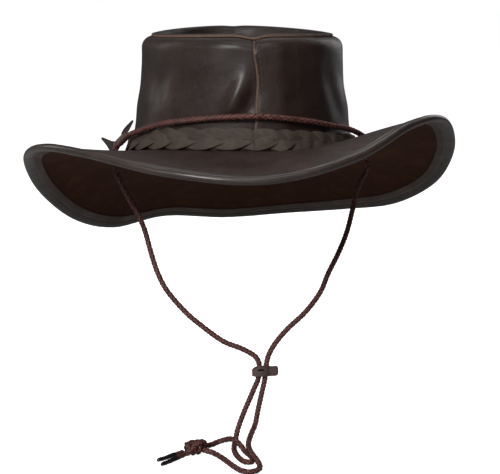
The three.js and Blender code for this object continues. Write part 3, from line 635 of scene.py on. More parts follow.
def make_crown_tip():
    """The dished oval top, its raw edge showing on the shoulder."""
    steps = np.hypot(np.diff(TIP_INWARD) * TIP_LAP, np.diff(TIP_FALL) * TIP_DISH)
    knots = np.concatenate([[0], np.cumsum(steps)])
    fine = np.linspace(0, knots[-1], 30)
    inward = smooth_curve(knots, np.array(TIP_INWARD) * TIP_LAP, fine)
    fall = smooth_curve(knots, np.array(TIP_FALL) * TIP_DISH, fine)
    run = np.gradient(inward)
    climb = -np.gradient(fall)
    size = np.hypot(run, climb)
    run, climb = run / size, climb / size
    run[0], climb[0] = 1, 0
    under_in, under_up = inward, -fall
    over_in, over_up = inward - climb * TIP_THICK, -fall + run * TIP_THICK
    centre = 0.073
    ring_in = np.array([*under_in[::-1], -0.0001, 0.0001, *over_in[1:]])
    ring_up = np.array([*under_up[::-1], TIP_THICK * 0.58, TIP_THICK * 0.98, *over_up[1:]])
    last = len(ring_in) + 1

    def place(u, v):
        row = np.rint(v * last).astype(int)
        pole = (row == 0) | (row == last)
        index = np.clip(row - 1, 0, len(ring_in) - 1)
        angle = u * 360
        lift = seam_raise(angle)
        zero = np.zeros_like(angle)
        x, y, z = shoulder_point(angle, zero + SHOULDER_TURN, lift, zero, ring_in[index])
        z = z + GAP + ring_up[index]
        level = centre - TIP_DISH + GAP + 0.0085 + np.where(row == 0, 0, TIP_THICK)
        return np.where(pole, 0, x), np.where(pole, 0, y), np.where(pole, level, z)

    def finish(u, v):
        row = v * last
        edge = len(under_in)
        return np.where((row > edge) & (row < edge + 2), 1, 0)

    tip = hide_sheet("crown_tip_leather", 300, last, place, finish)
    soften(tip, 60)
    dress(tip, "crown_leather", tip_leather(), raw_edge())
    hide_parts("crown_tip")


# The brim and its binding

def make_brim():
    """The brim: smooth side up, flesh side down, with a punched hole for the cord at each side."""
    upper_rows = 40
    rows = 2 * upper_rows + 3

    def place(u, v):
        angle = u * 360
        row = np.rint(v * rows).astype(int)
        below = row > upper_rows + 1
        station = np.where(below, rows - row, row)
        share = np.clip((station - 1) / upper_rows, 0, 1)
        rise = np.where(below, -BRIM_THICK / 2, BRIM_THICK / 2)
        out, up = beside_brim(angle, share, rise)
        leave = np.radians(around("leave", angle))
        inner = np.where(station == 0, PANEL_THICK + GAP, 0)
        return from_join(angle, out - inner * np.cos(leave), up - inner * np.sin(leave))

    def finish(u, v):
        return np.where(v * rows > upper_rows + 1, 1, 0)

    brim = hide_sheet("brim_leather_sheet", 420, rows, place, finish)
    for angle in HOLE_ANGLES:
        punch_hole(brim, angle)
    soften(brim, 60)
    dress(brim, "brim_leather", brim_leather(), brim_suede())
    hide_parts("brim")


def punch_hole(brim, angle):
    x, y, out_x, out_y = oval(HEAD_WIDTH / 2, HEAD_LENGTH / 2, float(angle))
    place = (x + out_x * HOLE_OUT, y + out_y * HOLE_OUT, float(join_height(float(angle))))
    radius = CORD_DIAMETER / 2 + HOLE_CLEARANCE
    choose_nothing()
    bpy.ops.mesh.primitive_cylinder_add(vertices=32, radius=radius, depth=BRIM_WIDTH / 2, location=place)
    punch = bpy.context.object
    settle(punch)
    choose(brim)
    cut = brim.modifiers.new("cord_hole", "BOOLEAN")
    cut.operation = "DIFFERENCE"
    cut.object = punch
    bpy.ops.object.modifier_apply(modifier=cut.name)
    choose(punch)
    bpy.ops.object.delete()


def make_binding():
    """The folded strip round the brim's edge: a rounded roll, a short leg above and a flat long leg below."""
    bead = []
    for turn in np.radians(range(80, -81, -16)):
        bead.append((BINDING_BEAD * math.cos(turn), BINDING_BEAD * math.sin(turn)))
    slot = BRIM_THICK / 2 + GAP
    lining = [(0.0055, -slot), (-GAP, -slot), (-GAP, slot)]
    section = [*BINDING_ABOVE, *((-along, rise) for along, rise in bead), *BINDING_BELOW, *lining]
    section.append(BINDING_ABOVE[0])
    inward = np.array([spot[0] for spot in section])
    rise = np.array([spot[1] for spot in section])
    last = len(section) - 1
    crease = len(BINDING_ABOVE) + len(bead) + 4

    def place(u, v):
        angle = u * 360
        row = np.rint(v * last).astype(int)
        share = 1 - np.clip(inward[row], 0, None) / brim_end_speed(angle)
        out, up = beside_brim(angle, share, rise[row] + ripple(angle, row))
        arrive = np.radians(around("arrive", angle))
        past = np.clip(-inward[row], 0, None)
        return from_join(angle, out + past * np.cos(arrive), up + past * np.sin(arrive))

    def ripple(angle, row):
        outside = (row > 1) & (row < last - 4)
        wave = np.sin(np.radians(angle * 61)) * np.sin(np.radians(angle * 23 + 50)) * 0.5
        wave = wave + np.sin(np.radians(angle * 97 + 20)) * np.sin(np.radians(angle * 13)) * 0.5
        return np.where(outside, np.sign(rise[row]) * 0.00012 * wave, 0)

    def finish(u, v):
        row = v * last
        leg = (row > crease) & (row < crease + len(BINDING_BELOW) - 4)
        line = (row > crease - 1) & (row < crease + 1)
        return np.where(line, 2, np.where(leg, 1, 0))

    binding = hide_sheet("brim_binding_strip", 540, last, place, finish)
    soften(binding, 60)
    dress(binding, "binding_leather", binding_leather(), binding_leg(), binding_crease())
    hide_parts("brim_binding")


# The braided band and its tie

def braid_phase_table(angles):
    """The braid's turns at each angle, counted in lobes, following its uneven pitch."""
    x, y, out_x, out_y = oval(HEAD_WIDTH / 2, HEAD_LENGTH / 2, angles)
    spots = np.stack([x + out_x * 0.0023, y + out_y * 0.0023], axis=1)
    run = np.concatenate([[0], np.cumsum(np.linalg.norm(np.diff(spots, axis=0), axis=1))])
    starts = np.array(LOBE_STARTS)
    counts = np.arange(len(starts)) - np.argmin(np.abs(starts))
    knots = np.concatenate([starts, run[-1] + starts])
    lobes = np.concatenate([counts, LOBE_COUNT + counts])
    return smooth_curve(knots, lobes, run)


def braid_strand(name, strand, angles, lobes):
    """One of the band's three leather strips, woven round the crown."""
    phase = np.radians(lobes * 120 + strand * 120 - 90)
    height = np.interp(np.mod(np.degrees(phase), 360), WEAVE_TURNS, WEAVE_HEIGHTS)
    kernel = np.hanning(13) / np.hanning(13).sum()
    height = np.convolve(np.concatenate([height[-7:-1], height, height[1:7]]), kernel, mode="same")[6:-6]
    reach = (BAND_WIDTH - STRIP_WIDTH) / 2
    lateral = reach * np.sin(phase)
    slope = np.gradient(lateral) / np.gradient(np.radians(angles) * 0.0955)
    last = len(angles) - 1
    foot = brim_rise(angles, seam_raise(angles) + GAP) + GAP
    lift = seam_raise(angles) + GAP
    edge = np.array([0, 0.25, 0.5, 0.75, 0.92, 1, 1, 0.92, 0.75, 0.5, 0.25, 0])
    edge = np.array([*edge, -0.25, -0.5, -0.75, -0.92, -1, -1, -0.92, -0.75, -0.5, -0.25, 0])
    side = np.array([1, 1, 0.98, 0.92, 0.78, 0.4, -0.4, -0.78, -0.92, -0.98, -1])
    side = np.array([*side, -1, -1, -0.98, -0.92, -0.78, -0.4, 0.4, 0.78, 0.92, 0.98, 1, 1])
    rows = len(edge) - 1

    def place(u, v):
        step = np.rint(u * last).astype(int)
        row = np.rint(v * rows).astype(int)
        lean = 1 / np.sqrt(1 + slope[step] ** 2)
        across = edge[row] * STRIP_WIDTH / 2
        rise = lateral[step] + across * lean
        turn = -across * lean * slope[step] / 0.0955
        angle = angles[step] + np.degrees(turn)
        tilt = -across * 0.11 * np.cos(phase[step])
        out = height[step] * STRIP_THICK * 0.8 + tilt + side[row] * STRIP_THICK / 2
        share = rise / BAND_WIDTH + 0.5
        level = foot[step] + share * (BAND_WIDTH - foot[step])
        thick = lift[step] + BAND_THICK / 2 + out
        x, y, z = wall_point(angle, wall_height_at(angle, level), thick)
        return x, y, z

    return hide_sheet(name, last, rows, place)


def make_hat_band():
    angles = np.linspace(0, 360, 1081)
    lobes = braid_phase_table(angles)
    strands = [braid_strand(f"band_strand_{index}", index, angles, lobes) for index in range(3)]
    for strand in strands:
        soften(strand, 70)
    band = join_pieces("hat_band_braid", strands)
    dress(band, "band_leather", band_leather())
    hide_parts("hat_band")


def make_band_wrap():
    """The wrap that ties the braid at the left: turns of thong, bound darker at both ends."""
    lean = math.radians(90 - WRAP_TURN)
    axis = Vector((math.sin(lean), 0, math.cos(lean)))
    turns = []
    for index in range(7):
        along = (index - 3) * 0.00185
        bound = index in (0, 6)
        choose_nothing()
        bpy.ops.mesh.primitive_torus_add(
            major_segments=40,
            minor_segments=12,
            major_radius=0.0024 if bound else 0.0027,
            minor_radius=0.0008 if bound else 0.00105,
            location=Vector(WRAP_PLACE) + axis * along,
            rotation=(math.radians(3 if index % 2 else -4), lean, 0),
        )
        turn = bpy.context.object
        turn.scale = (0.6, 1, 1)
        settle(turn)
        for face in turn.data.polygons:
            face.material_index = 1 if bound else 0
        turns.append(turn)
    choose_nothing()
    bpy.ops.mesh.primitive_cylinder_add(
        vertices=24,
        radius=0.0021,
        depth=0.0118,
        location=WRAP_PLACE,
        rotation=(0, lean, 0),
    )
    core = bpy.context.object
    core.scale = (0.62, 1, 1)
    settle(core)
    core.data.materials.clear()
    for face in core.data.polygons:
        face.material_index = 1
    wrap = join_pieces("band_wrap_thong", [*turns, core])
    soften(wrap, 60)
    dress(wrap, "tie_leather", tie_leather(), tie_end_leather())
    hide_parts("band_knot")


def strap_end(name, root, tip, width, shoulder, bow, node):
    """A pointed strap end, bowed a little, from its root to its tip."""
    root = np.array(root)
    tip = np.array(tip)
    ahead = (tip - root) / np.linalg.norm(tip - root)
    length = np.linalg.norm(tip - root)
    side = np.cross(ahead, (0, 1, 0))

    def place(u, v):
        half = width / 2 * smooth_curve((0, 0.25, 0.55, 0.9, 1), (0.62, 1, shoulder, 0.16, 0), u)
        across = (v - 0.5) * 2
        curl = bow * np.sin(u * math.pi) + 0.0004 * across * across
        spot = root + (u * length)[:, None] * ahead + (across * half)[:, None] * side
        spot[:, 1] -= curl
        return spot.T

    end = hide_sheet(name, 24, 8, place)
    choose(end)
    thick = end.modifiers.new("leather_thickness", "SOLIDIFY")
    thick.thickness = 0.0016
    thick.offset = 0
    bpy.ops.object.modifier_apply(modifier=thick.name)
    edge = end.modifiers.new("worn_edges", "BEVEL")
    edge.width = 0.0003
    edge.segments = 2
    bpy.ops.object.modifier_apply(modifier=edge.name)
    soften(end, 60)
    dress(end, "tie_leather", tie_end_leather())
    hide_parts(node)


# The slide, the knot and the tips

def make_slide():
    """The leather slide: a strap folded round both cords, slit in front, its end standing out."""
    choose_nothing()
    bpy.ops.mesh.primitive_cylinder_add(vertices=56, radius=1, depth=1, location=(-0.0029, 0, 0))
    slide = named(bpy.context.object, "cord_slide_leather")
    slide.scale = (0.0068, SLIDE_DEPTH / 2, SLIDE_HEIGHT)
    settle(slide)
    choose_nothing()
    bpy.ops.mesh.primitive_cube_add(size=1, location=(0.0047, 0, -0.0001))
    tail = bpy.context.object
    tail.scale = (0.01, 0.0046, SLIDE_HEIGHT)
    settle(tail)
    apply_bevel(tail, 0.0021, 6)
    choose(slide)
    both = slide.modifiers.new("folded_together", "BOOLEAN")
    both.operation = "UNION"
    both.object = tail
    bpy.ops.object.modifier_apply(modifier=both.name)
    choose(tail)
    bpy.ops.object.delete()
    cut_through(slide, (SLIDE_SLOT_SHIFT, 0, 0), (0.0104, 0.0056, 0.02), 0.0026)
    cut_through(slide, (-0.0033, -SLIDE_DEPTH / 2, 0.0008), (0.0047, 0.006, 0.0012), 0.0005)
    apply_bevel(slide, 0.00045, 2, 35)
    for corner in slide.data.vertices:
        past = max(0, -0.0035 - corner.co.x) / 0.0062
        corner.co.z *= 1 - 0.32 * past * past
        corner.co.z -= 0.0007 * past
        corner.co.z += 0.00025 * math.sin(corner.co.x * 900 + corner.co.y * 400)
    slide.rotation_euler = (SLIDE_LEAN, 0, 0)
    slide.location = SLIDE_PLACE
    settle(slide)
    soften(slide, 40)
    dress(slide, "slide_leather", slide_leather(), slide_edge())
    for face in slide.data.polygons:
        frayed = face.center.x < SLIDE_PLACE[0] - 0.0068 and face.center.z < SLIDE_PLACE[2]
        face.material_index = 1 if face.normal.z < -0.5 or frayed else 0
    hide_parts("cord_slide")
    return slide


def apply_bevel(piece, width, segments, angle=25):
    choose(piece)
    bend = piece.modifiers.new("worn_edges", "BEVEL")
    bend.width = width
    bend.segments = segments
    bend.limit_method = "ANGLE"
    bend.angle_limit = math.radians(angle)
    bpy.ops.object.modifier_apply(modifier=bend.name)


def cut_through(piece, place, size, rounding):
    """Cuts a rounded slot of a size at a place out of a piece."""
    choose_nothing()
    bpy.ops.mesh.primitive_cube_add(size=1, location=place)
    cutter = bpy.context.object
    cutter.scale = size
    bpy.ops.object.transform_apply(location=False, rotation=False, scale=True)
    bend = cutter.modifiers.new("rounded", "BEVEL")
    bend.width = rounding
    bend.segments = 5
    bend.affect = "EDGES"
    bpy.ops.object.modifier_apply(modifier=bend.name)
    settle(cutter)
    choose(piece)
    cut = piece.modifiers.new("slot", "BOOLEAN")
    cut.operation = "DIFFERENCE"
    cut.object = cutter
    bpy.ops.object.modifier_apply(modifier=cut.name)
    choose(cutter)
    bpy.ops.object.delete()


def in_knot_frame(points):
    """Points given in the knot's own frame, as points of the hat."""
    turn = math.radians(KNOT_TURN)
    rows = []
    for x, y, z in points:
        rows.append((
            KNOT_PLACE[0] + x * math.cos(turn) - y * math.sin(turn),
            KNOT_PLACE[1] + x * math.sin(turn) + y * math.cos(turn),
            KNOT_PLACE[2] + z,
        ))
    return rows


def make_cord_knot():
    """The end knot: the doubled cord wound round itself, with one turn laid over the others."""
    wound = []
    for step in range(40):
        share = step / 39
        turn = 2 * math.pi * 3.3 * share + 0.6
        swell = 1 - 0.35 * abs(2 * share - 1) ** 2.5
        x = 0.0066 - 0.0126 * share + 0.0012 * math.sin(turn)
        wound.append((x, -0.0052 * swell * math.cos(turn), 0.0035 * swell * math.sin(turn)))
    over = [
        (0.0076, 0.0014, -0.0006),
        (0.0072, -0.0012, 0.0034),
        (0.0044, -0.0038, 0.0052),
        (0.0004, -0.0058, 0.0036),
        (-0.003, -0.0062, 0.0008),
        (-0.0052, -0.0048, -0.0022),
        (-0.0062, -0.0014, -0.0034),
    ]
    knot, _ = braided_cord("cord_knot_turns", in_knot_frame(wound), step=0.0006)
    lap, _ = braided_cord("cord_knot_lap", in_knot_frame(over), step=0.0006)
    choose_nothing()
    bpy.ops.mesh.primitive_uv_sphere_add(segments=32, ring_count=16, radius=1, location=KNOT_PLACE)
    filling = bpy.context.object
    filling.scale = (0.0072, 0.0048, 0.0034)
    settle(filling)
    knot = join_pieces("cord_knot_turns", [knot, lap, filling])
    dress(knot, "braided_cord", cord_leather())
    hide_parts("cord_knot")
    return knot


def make_cord_tip(name, start, heading, node):
    """One end of the cord: a short braided length, then a glossy shrunk sleeve."""
    start = Vector(start)
    ahead = Vector((math.cos(math.radians(heading)), math.sin(math.radians(heading)), 0))
    side = Vector((-ahead.y, ahead.x, 0))
    bed = 0.0016
    middles = [start - ahead * 0.001, start + ahead * 0.003, start + ahead * 0.0072]
    stub, _ = braided_cord(f"{name}_stub", middles, 0.0006, 0.8)
    dress(stub, "braided_cord", cord_leather())

    def place(u, v):
        along = 0.0062 + u * (TIP_LENGTH - 0.0062)
        round_it = v * 2 * math.pi
        folds = 0.09 * np.sin(round_it * 3 + 9 * u) + 0.05 * np.sin(round_it * 2 - 21 * u + 1)
        folds = folds + 0.035 * np.sin(u * 47 + 2 * np.sin(round_it))
        close = np.sqrt(np.clip(1 - ((u - 0.5) * 2) ** 24, 0, 1))
        radius = bed * (1.08 - 0.2 * u) * (1 + folds) * close
        across = radius * np.cos(round_it)
        up = radius * np.sin(round_it) * 0.95
        x = start.x + ahead.x * along + side.x * across
        y = start.y + ahead.y * along + side.y * across
        z = start.z + up
        return x, y, z

    sleeve = hide_sheet(name, 90, 32, place)
    choose(sleeve)
    bpy.ops.object.shade_smooth()
    dress(sleeve, "cord_tip", cord_tip_gloss())
    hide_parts(node)
    return [stub, sleeve]


# Stitching

def seam_stitches(name, angle, start, end, pitch):
    """A row of stitches up the overlying panel, beside its raw edge."""
    stitches = []
    rise = start
    while rise < end:
        straight = np.array([float(angle)] * 2)
        rises = np.array([rise, rise + 0.0005])
        height = wall_height_at(straight, rises)
        at = straight + seam_bend(straight, height)
        lift = seam_raise(at) + dent_at(at, height) + relief_at(at, height)
        x, y, z = wall_point(at, height, lift + 0.00005)
        up = Vector((x[1] - x[0], y[1] - y[0], z[1] - z[0])).normalized()
        out = Vector((x[0], y[0], 0)).normalized()
        across = up.cross(out).normalized()
        out = across.cross(up)
        choose_nothing()
        bpy.ops.mesh.primitive_uv_sphere_add(segments=8, ring_count=6, radius=1)
        stitch = bpy.context.object
        turn = Matrix((across, up, out)).transposed().to_4x4()
        size = Matrix.Diagonal((0.00045, 0.00115, 0.00035, 1))
        stitch.matrix_world = Matrix.Translation((x[0], y[0], z[0])) @ turn @ size
        settle(stitch)
        stitches.append(stitch)
        rise += pitch
    row = join_pieces(name, stitches)
    choose(row)
    bpy.ops.object.shade_smooth()
    dress(row, "crown_leather", seam_thread())


# Finishes

def new_finish(name, roughness):
    finish = bpy.data.materials.get(name)
    if finish is None:
        finish = bpy.data.materials.new(name)
        finish.use_nodes = True
        finish.node_tree.nodes["Principled BSDF"].inputs["Roughness"].default_value = roughness
        return finish, True
    return finish, False


def node(finish, kind, **values):
    made = finish.node_tree.nodes.new(kind)
    for key, value in values.items():
        if key in made.inputs:
            made.inputs[key].default_value = value
        else:
            setattr(made, key, value)
    return made


def tie(finish, start, end):
    finish.node_tree.links.new(start, end)


def shader_of(finish):
    return finish.node_tree.nodes["Principled BSDF"]


def object_place(finish, stretch=(1, 1, 1)):
    place = node(finish, "ShaderNodeTexCoord")
    sized = node(finish, "ShaderNodeMapping")
    sized.inputs["Scale"].default_value = stretch
    tie(finish, place.outputs["Object"], sized.inputs["Vector"])
    return sized.outputs["Vector"]


def sheet_place(finish, stretch=(1, 1, 1)):
    place = node(finish, "ShaderNodeTexCoord")
    sized = node(finish, "ShaderNodeMapping")
    sized.inputs["Scale"].default_value = stretch
    tie(finish, place.outputs["UV"], sized.inputs["Vector"])
    return sized.outputs["Vector"]


def cloud(finish, place, scale, detail=4.0, roughness=0.55, distortion=0.0):
    made = node(finish, "ShaderNodeTexNoise", Scale=scale, Detail=detail, Roughness=roughness, Distortion=distortion)
    tie(finish, place, made.inputs["Vector"])
    return made.outputs["Fac"]


def cells(finish, place, scale, feature="F1"):
    made = node(finish, "ShaderNodeTexVoronoi", feature=feature)
    made.inputs["Scale"].default_value = scale
    tie(finish, place, made.inputs["Vector"])
    return made.outputs["Distance"]


def ramp(finish, factor, *stops):
    made = node(finish, "ShaderNodeValToRGB")
    band = made.color_ramp
    while len(band.elements) < len(stops):
        band.elements.new(0.5)
    for element, (place, colour) in zip(band.elements, stops):
        element.position = place
        element.color = colour if len(colour) == 4 else (*colour, 1)
    tie(finish, factor, made.inputs["Fac"])
    return made.outputs["Color"]


def levels(finish, factor, low, high, start=0.0, end=1.0):
    made = node(finish, "ShaderNodeMapRange", clamp=True)
    made.inputs["From Min"].default_value = low
    made.inputs["From Max"].default_value = high
    made.inputs["To Min"].default_value = start
    made.inputs["To Max"].default_value = end
    tie(finish, factor, made.inputs["Value"])
    return made.outputs["Result"]


def blend_colours(finish, factor, first, second, how="MIX"):
    made = node(finish, "ShaderNodeMix", data_type="RGBA", blend_type=how)
    for end, value in ((0, factor), (6, first), (7, second)):
        if hasattr(value, "is_output"):
            tie(finish, value, made.inputs[end])
        elif end == 0:
            made.inputs[end].default_value = value
        else:
            made.inputs[end].default_value = (*value, 1)
    return made.outputs[2]


def combine(finish, how, first, second):
    made = node(finish, "ShaderNodeMath", operation=how)
    for end, value in ((0, first), (1, second)):
        if hasattr(value, "is_output"):
            tie(finish, value, made.inputs[end])
        else:
            made.inputs[end].default_value = value
    return made.outputs["Value"]


def raise_surface(finish, height, distance, strength=1.0, under=None):
    made = node(finish, "ShaderNodeBump", Strength=strength, Distance=distance)
    tie(finish, height, made.inputs["Height"])
    if under is not None:
        tie(finish, under, made.inputs["Normal"])
    return made.outputs["Normal"]


def leather_skin(finish, colours, gloss, grain=1.0, grain_scale=1.0):
    """Smooth oiled leather: clouded colour, pebbled grain and uneven gloss."""
    shader = shader_of(finish)
    place = object_place(finish)
    broad = cloud(finish, place, 26, 5, 0.6, 0.4)
    fine = cloud(finish, place, 420, 3, 0.6)
    mixed = combine(finish, "ADD", combine(finish, "MULTIPLY", broad, 0.8), combine(finish, "MULTIPLY", fine, 0.2))
    colour = ramp(finish, mixed, (0.34, colours[0]), (0.52, colours[1]), (0.68, colours[2]))
    pebbles = cells(finish, place, 1150 * grain_scale, "DISTANCE_TO_EDGE")
    pits = levels(finish, pebbles, 0, 0.12)
    tie(finish, colour, shader.inputs["Base Color"])
    patches = cloud(finish, place, 75, 4, 0.62)
    rough = levels(finish, patches, 0.3, 0.72, gloss[0], gloss[1])
    tie(finish, rough, shader.inputs["Roughness"])
    folds = cloud(finish, place, 58, 3, 0.5, 0.8)
    waves = raise_surface(finish, folds, 0.0011 * grain, 0.5)
    pores = raise_surface(finish, pits, 0.00012 * grain, 0.7, waves)
    dust = cloud(finish, place, 2600, 2, 0.6)
    grit = raise_surface(finish, dust, 0.00008 * grain, 0.6, pores)
    tie(finish, grit, shader.inputs["Normal"])
    return shader, place, colour


def crown_leather():
    finish, fresh = new_finish("oiled_crown_leather", 0.4)
    if fresh:
        tones = ((0.0125, 0.0058, 0.0042), (0.0215, 0.0105, 0.0078), (0.036, 0.0195, 0.0155))
        shader = leather_skin(finish, tones, (0.36, 0.52))[0]
        shader.inputs["Specular IOR Level"].default_value = 0.4
        shader.inputs["Coat Weight"].default_value = 0.16
        shader.inputs["Coat Roughness"].default_value = 0.3
    return finish


def tip_leather():
    finish, fresh = new_finish("oiled_tip_leather", 0.45)
    if fresh:
        tones = ((0.013, 0.0066, 0.005), (0.021, 0.011, 0.0085), (0.034, 0.019, 0.015))
        leather_skin(finish, tones, (0.4, 0.56))
    return finish


def raw_edge():
    finish, fresh = new_finish("raw_cut_edge", 0.85)
    if fresh:
        shader = shader_of(finish)
        place = object_place(finish)
        fibres = cloud(finish, place, 900, 4, 0.7)
        colour = ramp(finish, fibres, (0.3, (0.07, 0.038, 0.027)), (0.7, (0.18, 0.11, 0.08)))
        tie(finish, colour, shader.inputs["Base Color"])
        tie(finish, raise_surface(finish, fibres, 0.0002), shader.inputs["Normal"])
    return finish


def brim_leather():
    finish, fresh = new_finish("smooth_brim_leather", 0.5)
    if fresh:
        tones = ((0.02, 0.0098, 0.0072), (0.031, 0.0162, 0.0122), (0.05, 0.029, 0.0225))
        shader, place, colour = leather_skin(finish, tones, (0.42, 0.62), 0.8)
        streaks = cloud(finish, object_place(finish, (160, 26, 60)), 1.0, 5, 0.7, 1.2)
        scratch = levels(finish, streaks, 0.64, 0.74)
        worn = blend_colours(finish, combine(finish, "MULTIPLY", scratch, 0.4), colour, (0.13, 0.095, 0.078))
        tie(finish, worn, shader.inputs["Base Color"])
    return finish


def brim_suede():
    finish, fresh = new_finish("brim_flesh_side", 0.95)
    if fresh:
        shader = shader_of(finish)
        place = object_place(finish)
        nap = cloud(finish, place, 60, 5, 0.7, 0.6)
        pile = cloud(finish, place, 1500, 3, 0.7)
        mixed = combine(finish, "ADD", combine(finish, "MULTIPLY", nap, 0.6), combine(finish, "MULTIPLY", pile, 0.4))
        colour = ramp(finish, mixed, (0.32, (0.024, 0.008, 0.0042)), (0.5, (0.042, 0.0145, 0.0078)), (0.7, (0.075, 0.029, 0.017)))
        tie(finish, colour, shader.inputs["Base Color"])
        shader.inputs["Specular IOR Level"].default_value = 0.15
        shader.inputs["Sheen Weight"].default_value = 0.12
        shader.inputs["Sheen Roughness"].default_value = 0.6
        shader.inputs["Sheen Tint"].default_value = (0.35, 0.18, 0.12, 1)
        under = raise_surface(finish, nap, 0.0006, 0.5)
        tie(finish, raise_surface(finish, pile, 0.00025, 0.9, under), shader.inputs["Normal"])
    return finish


def binding_leather():
    finish, fresh = new_finish("binding_roll_leather", 0.45)
    if fresh:
        tones = ((0.018, 0.0105, 0.008), (0.028, 0.0175, 0.014), (0.046, 0.031, 0.026))
        shader = leather_skin(finish, tones, (0.32, 0.46), 0.7, 1.2)[0]
        shader.inputs["Coat Weight"].default_value = 0.35
        shader.inputs["Coat Roughness"].default_value = 0.22
    return finish


def binding_leg():
    finish, fresh = new_finish("binding_leg_leather", 0.65)
    if fresh:
        tones = ((0.05, 0.035, 0.028), (0.075, 0.054, 0.044), (0.115, 0.086, 0.073))
        leather_skin(finish, tones, (0.55, 0.75), 0.8, 1.2)
    return finish


def binding_crease():
    finish, fresh = new_finish("binding_crease_line", 0.7)
    if fresh:
        tones = ((0.1, 0.077, 0.063), (0.15, 0.115, 0.095), (0.22, 0.17, 0.145))
        leather_skin(finish, tones, (0.6, 0.8), 0.6, 1.4)
    return finish


def band_leather():
    finish, fresh = new_finish("matt_band_leather", 0.75)
    if fresh:
        shader = shader_of(finish)
        place = object_place(finish)
        broad = cloud(finish, place, 90, 5, 0.65, 0.5)
        fine = cloud(finish, place, 1100, 4, 0.7)
        mixed = combine(finish, "ADD", combine(finish, "MULTIPLY", broad, 0.6), combine(finish, "MULTIPLY", fine, 0.4))
        colour = ramp(finish, mixed, (0.3, (0.03, 0.021, 0.0158)), (0.5, (0.056, 0.0405, 0.031)), (0.72, (0.115, 0.087, 0.069)))
        tie(finish, colour, shader.inputs["Base Color"])
        tie(finish, levels(finish, broad, 0.3, 0.7, 0.62, 0.86), shader.inputs["Roughness"])
        shader.inputs["Specular IOR Level"].default_value = 0.35
        under = raise_surface(finish, broad, 0.0006, 0.6)
        tie(finish, raise_surface(finish, fine, 0.0002, 0.8, under), shader.inputs["Normal"])
    return finish


def tie_leather():
    finish, fresh = new_finish("wrap_thong_leather", 0.75)
    if fresh:
        tones = ((0.05, 0.036, 0.022), (0.085, 0.066, 0.045), (0.14, 0.11, 0.08))
        leather_skin(finish, tones, (0.6, 0.8), 1.0, 1.6)
    return finish


def tie_end_leather():
    finish, fresh = new_finish("strap_end_leather", 0.65)
    if fresh:
        tones = ((0.014, 0.009, 0.0068), (0.024, 0.016, 0.0125), (0.045, 0.032, 0.025))
        leather_skin(finish, tones, (0.5, 0.72), 1.0, 1.4)
    return finish


def slide_leather():
    finish, fresh = new_finish("slide_strap_leather", 0.6)
    if fresh:
        tones = ((0.05, 0.031, 0.025), (0.085, 0.053, 0.045), (0.14, 0.095, 0.083))
        leather_skin(finish, tones, (0.5, 0.72), 1.2, 1.3)
    return finish


def slide_edge():
    finish, fresh = new_finish("slide_cut_edge", 0.8)
    if fresh:
        tones = ((0.06, 0.022, 0.013), (0.13, 0.05, 0.03), (0.2, 0.09, 0.058))
        leather_skin(finish, tones, (0.65, 0.85), 1.2, 1.3)
    return finish


def cord_leather():
    finish, fresh = new_finish("braided_cord_leather", 0.5)
    if fresh:
        shader = shader_of(finish)
        place = object_place(finish)
        broad = cloud(finish, place, 150, 4, 0.6)
        fine = cloud(finish, place, 1400, 3, 0.65)
        mixed = combine(finish, "ADD", combine(finish, "MULTIPLY", broad, 0.55), combine(finish, "MULTIPLY", fine, 0.45))
        colour = ramp(finish, mixed, (0.32, (0.08, 0.022, 0.018)), (0.5, (0.16, 0.05, 0.042)), (0.7, (0.3, 0.12, 0.105)))
        apart = node(finish, "ShaderNodeSeparateXYZ")
        tie(finish, sheet_place(finish), apart.inputs["Vector"])
        # Painted shade: each strand darkens away from its outward crest, towards its sides and the gaps between strands
        from_crest = combine(finish, "ABSOLUTE", combine(finish, "SUBTRACT", apart.outputs["Y"], 0.25), 0)
        painted_gap_shade = levels(finish, from_crest, 0.05, 0.16, 0, 0.92)
        shown = blend_colours(finish, painted_gap_shade, colour, (0.009, 0.0035, 0.0032))
        tie(finish, shown, shader.inputs["Base Color"])
        tie(finish, levels(finish, broad, 0.3, 0.7, 0.4, 0.6), shader.inputs["Roughness"])
        fibres = cloud(finish, sheet_place(finish, (260, 9, 1)), 1.0, 3, 0.6)
        under = raise_surface(finish, fibres, 0.0002, 0.6)
        tie(finish, raise_surface(finish, fine, 0.0001, 0.6, under), shader.inputs["Normal"])
    return finish


def cord_tip_gloss():
    finish, fresh = new_finish("cord_tip_sleeve", 0.16)
    if fresh:
        shader = shader_of(finish)
        place = object_place(finish)
        broad = cloud(finish, place, 300, 3, 0.5)
        colour = ramp(finish, broad, (0.3, (0.007, 0.005, 0.0055)), (0.7, (0.02, 0.014, 0.015)))
        tie(finish, colour, shader.inputs["Base Color"])
        tie(finish, levels(finish, broad, 0.3, 0.7, 0.12, 0.26), shader.inputs["Roughness"])
        wrinkles = cloud(finish, place, 420, 3, 0.55, 0.7)
        tie(finish, raise_surface(finish, wrinkles, 0.0004, 0.5), shader.inputs["Normal"])
    return finish


def seam_thread():
    finish, fresh = new_finish("seam_thread", 0.6)
    if fresh:
        shader = shader_of(finish)
        twist = cloud(finish, object_place(finish, (1, 1, 3)), 1500, 2, 0.6)
        colour = ramp(finish, twist, (0.35, (0.02, 0.012, 0.01)), (0.65, (0.1, 0.065, 0.05)))
        tie(finish, colour, shader.inputs["Base Color"])
        tie(finish, raise_surface(finish, twist, 0.0002), shader.inputs["Normal"])
    return finish


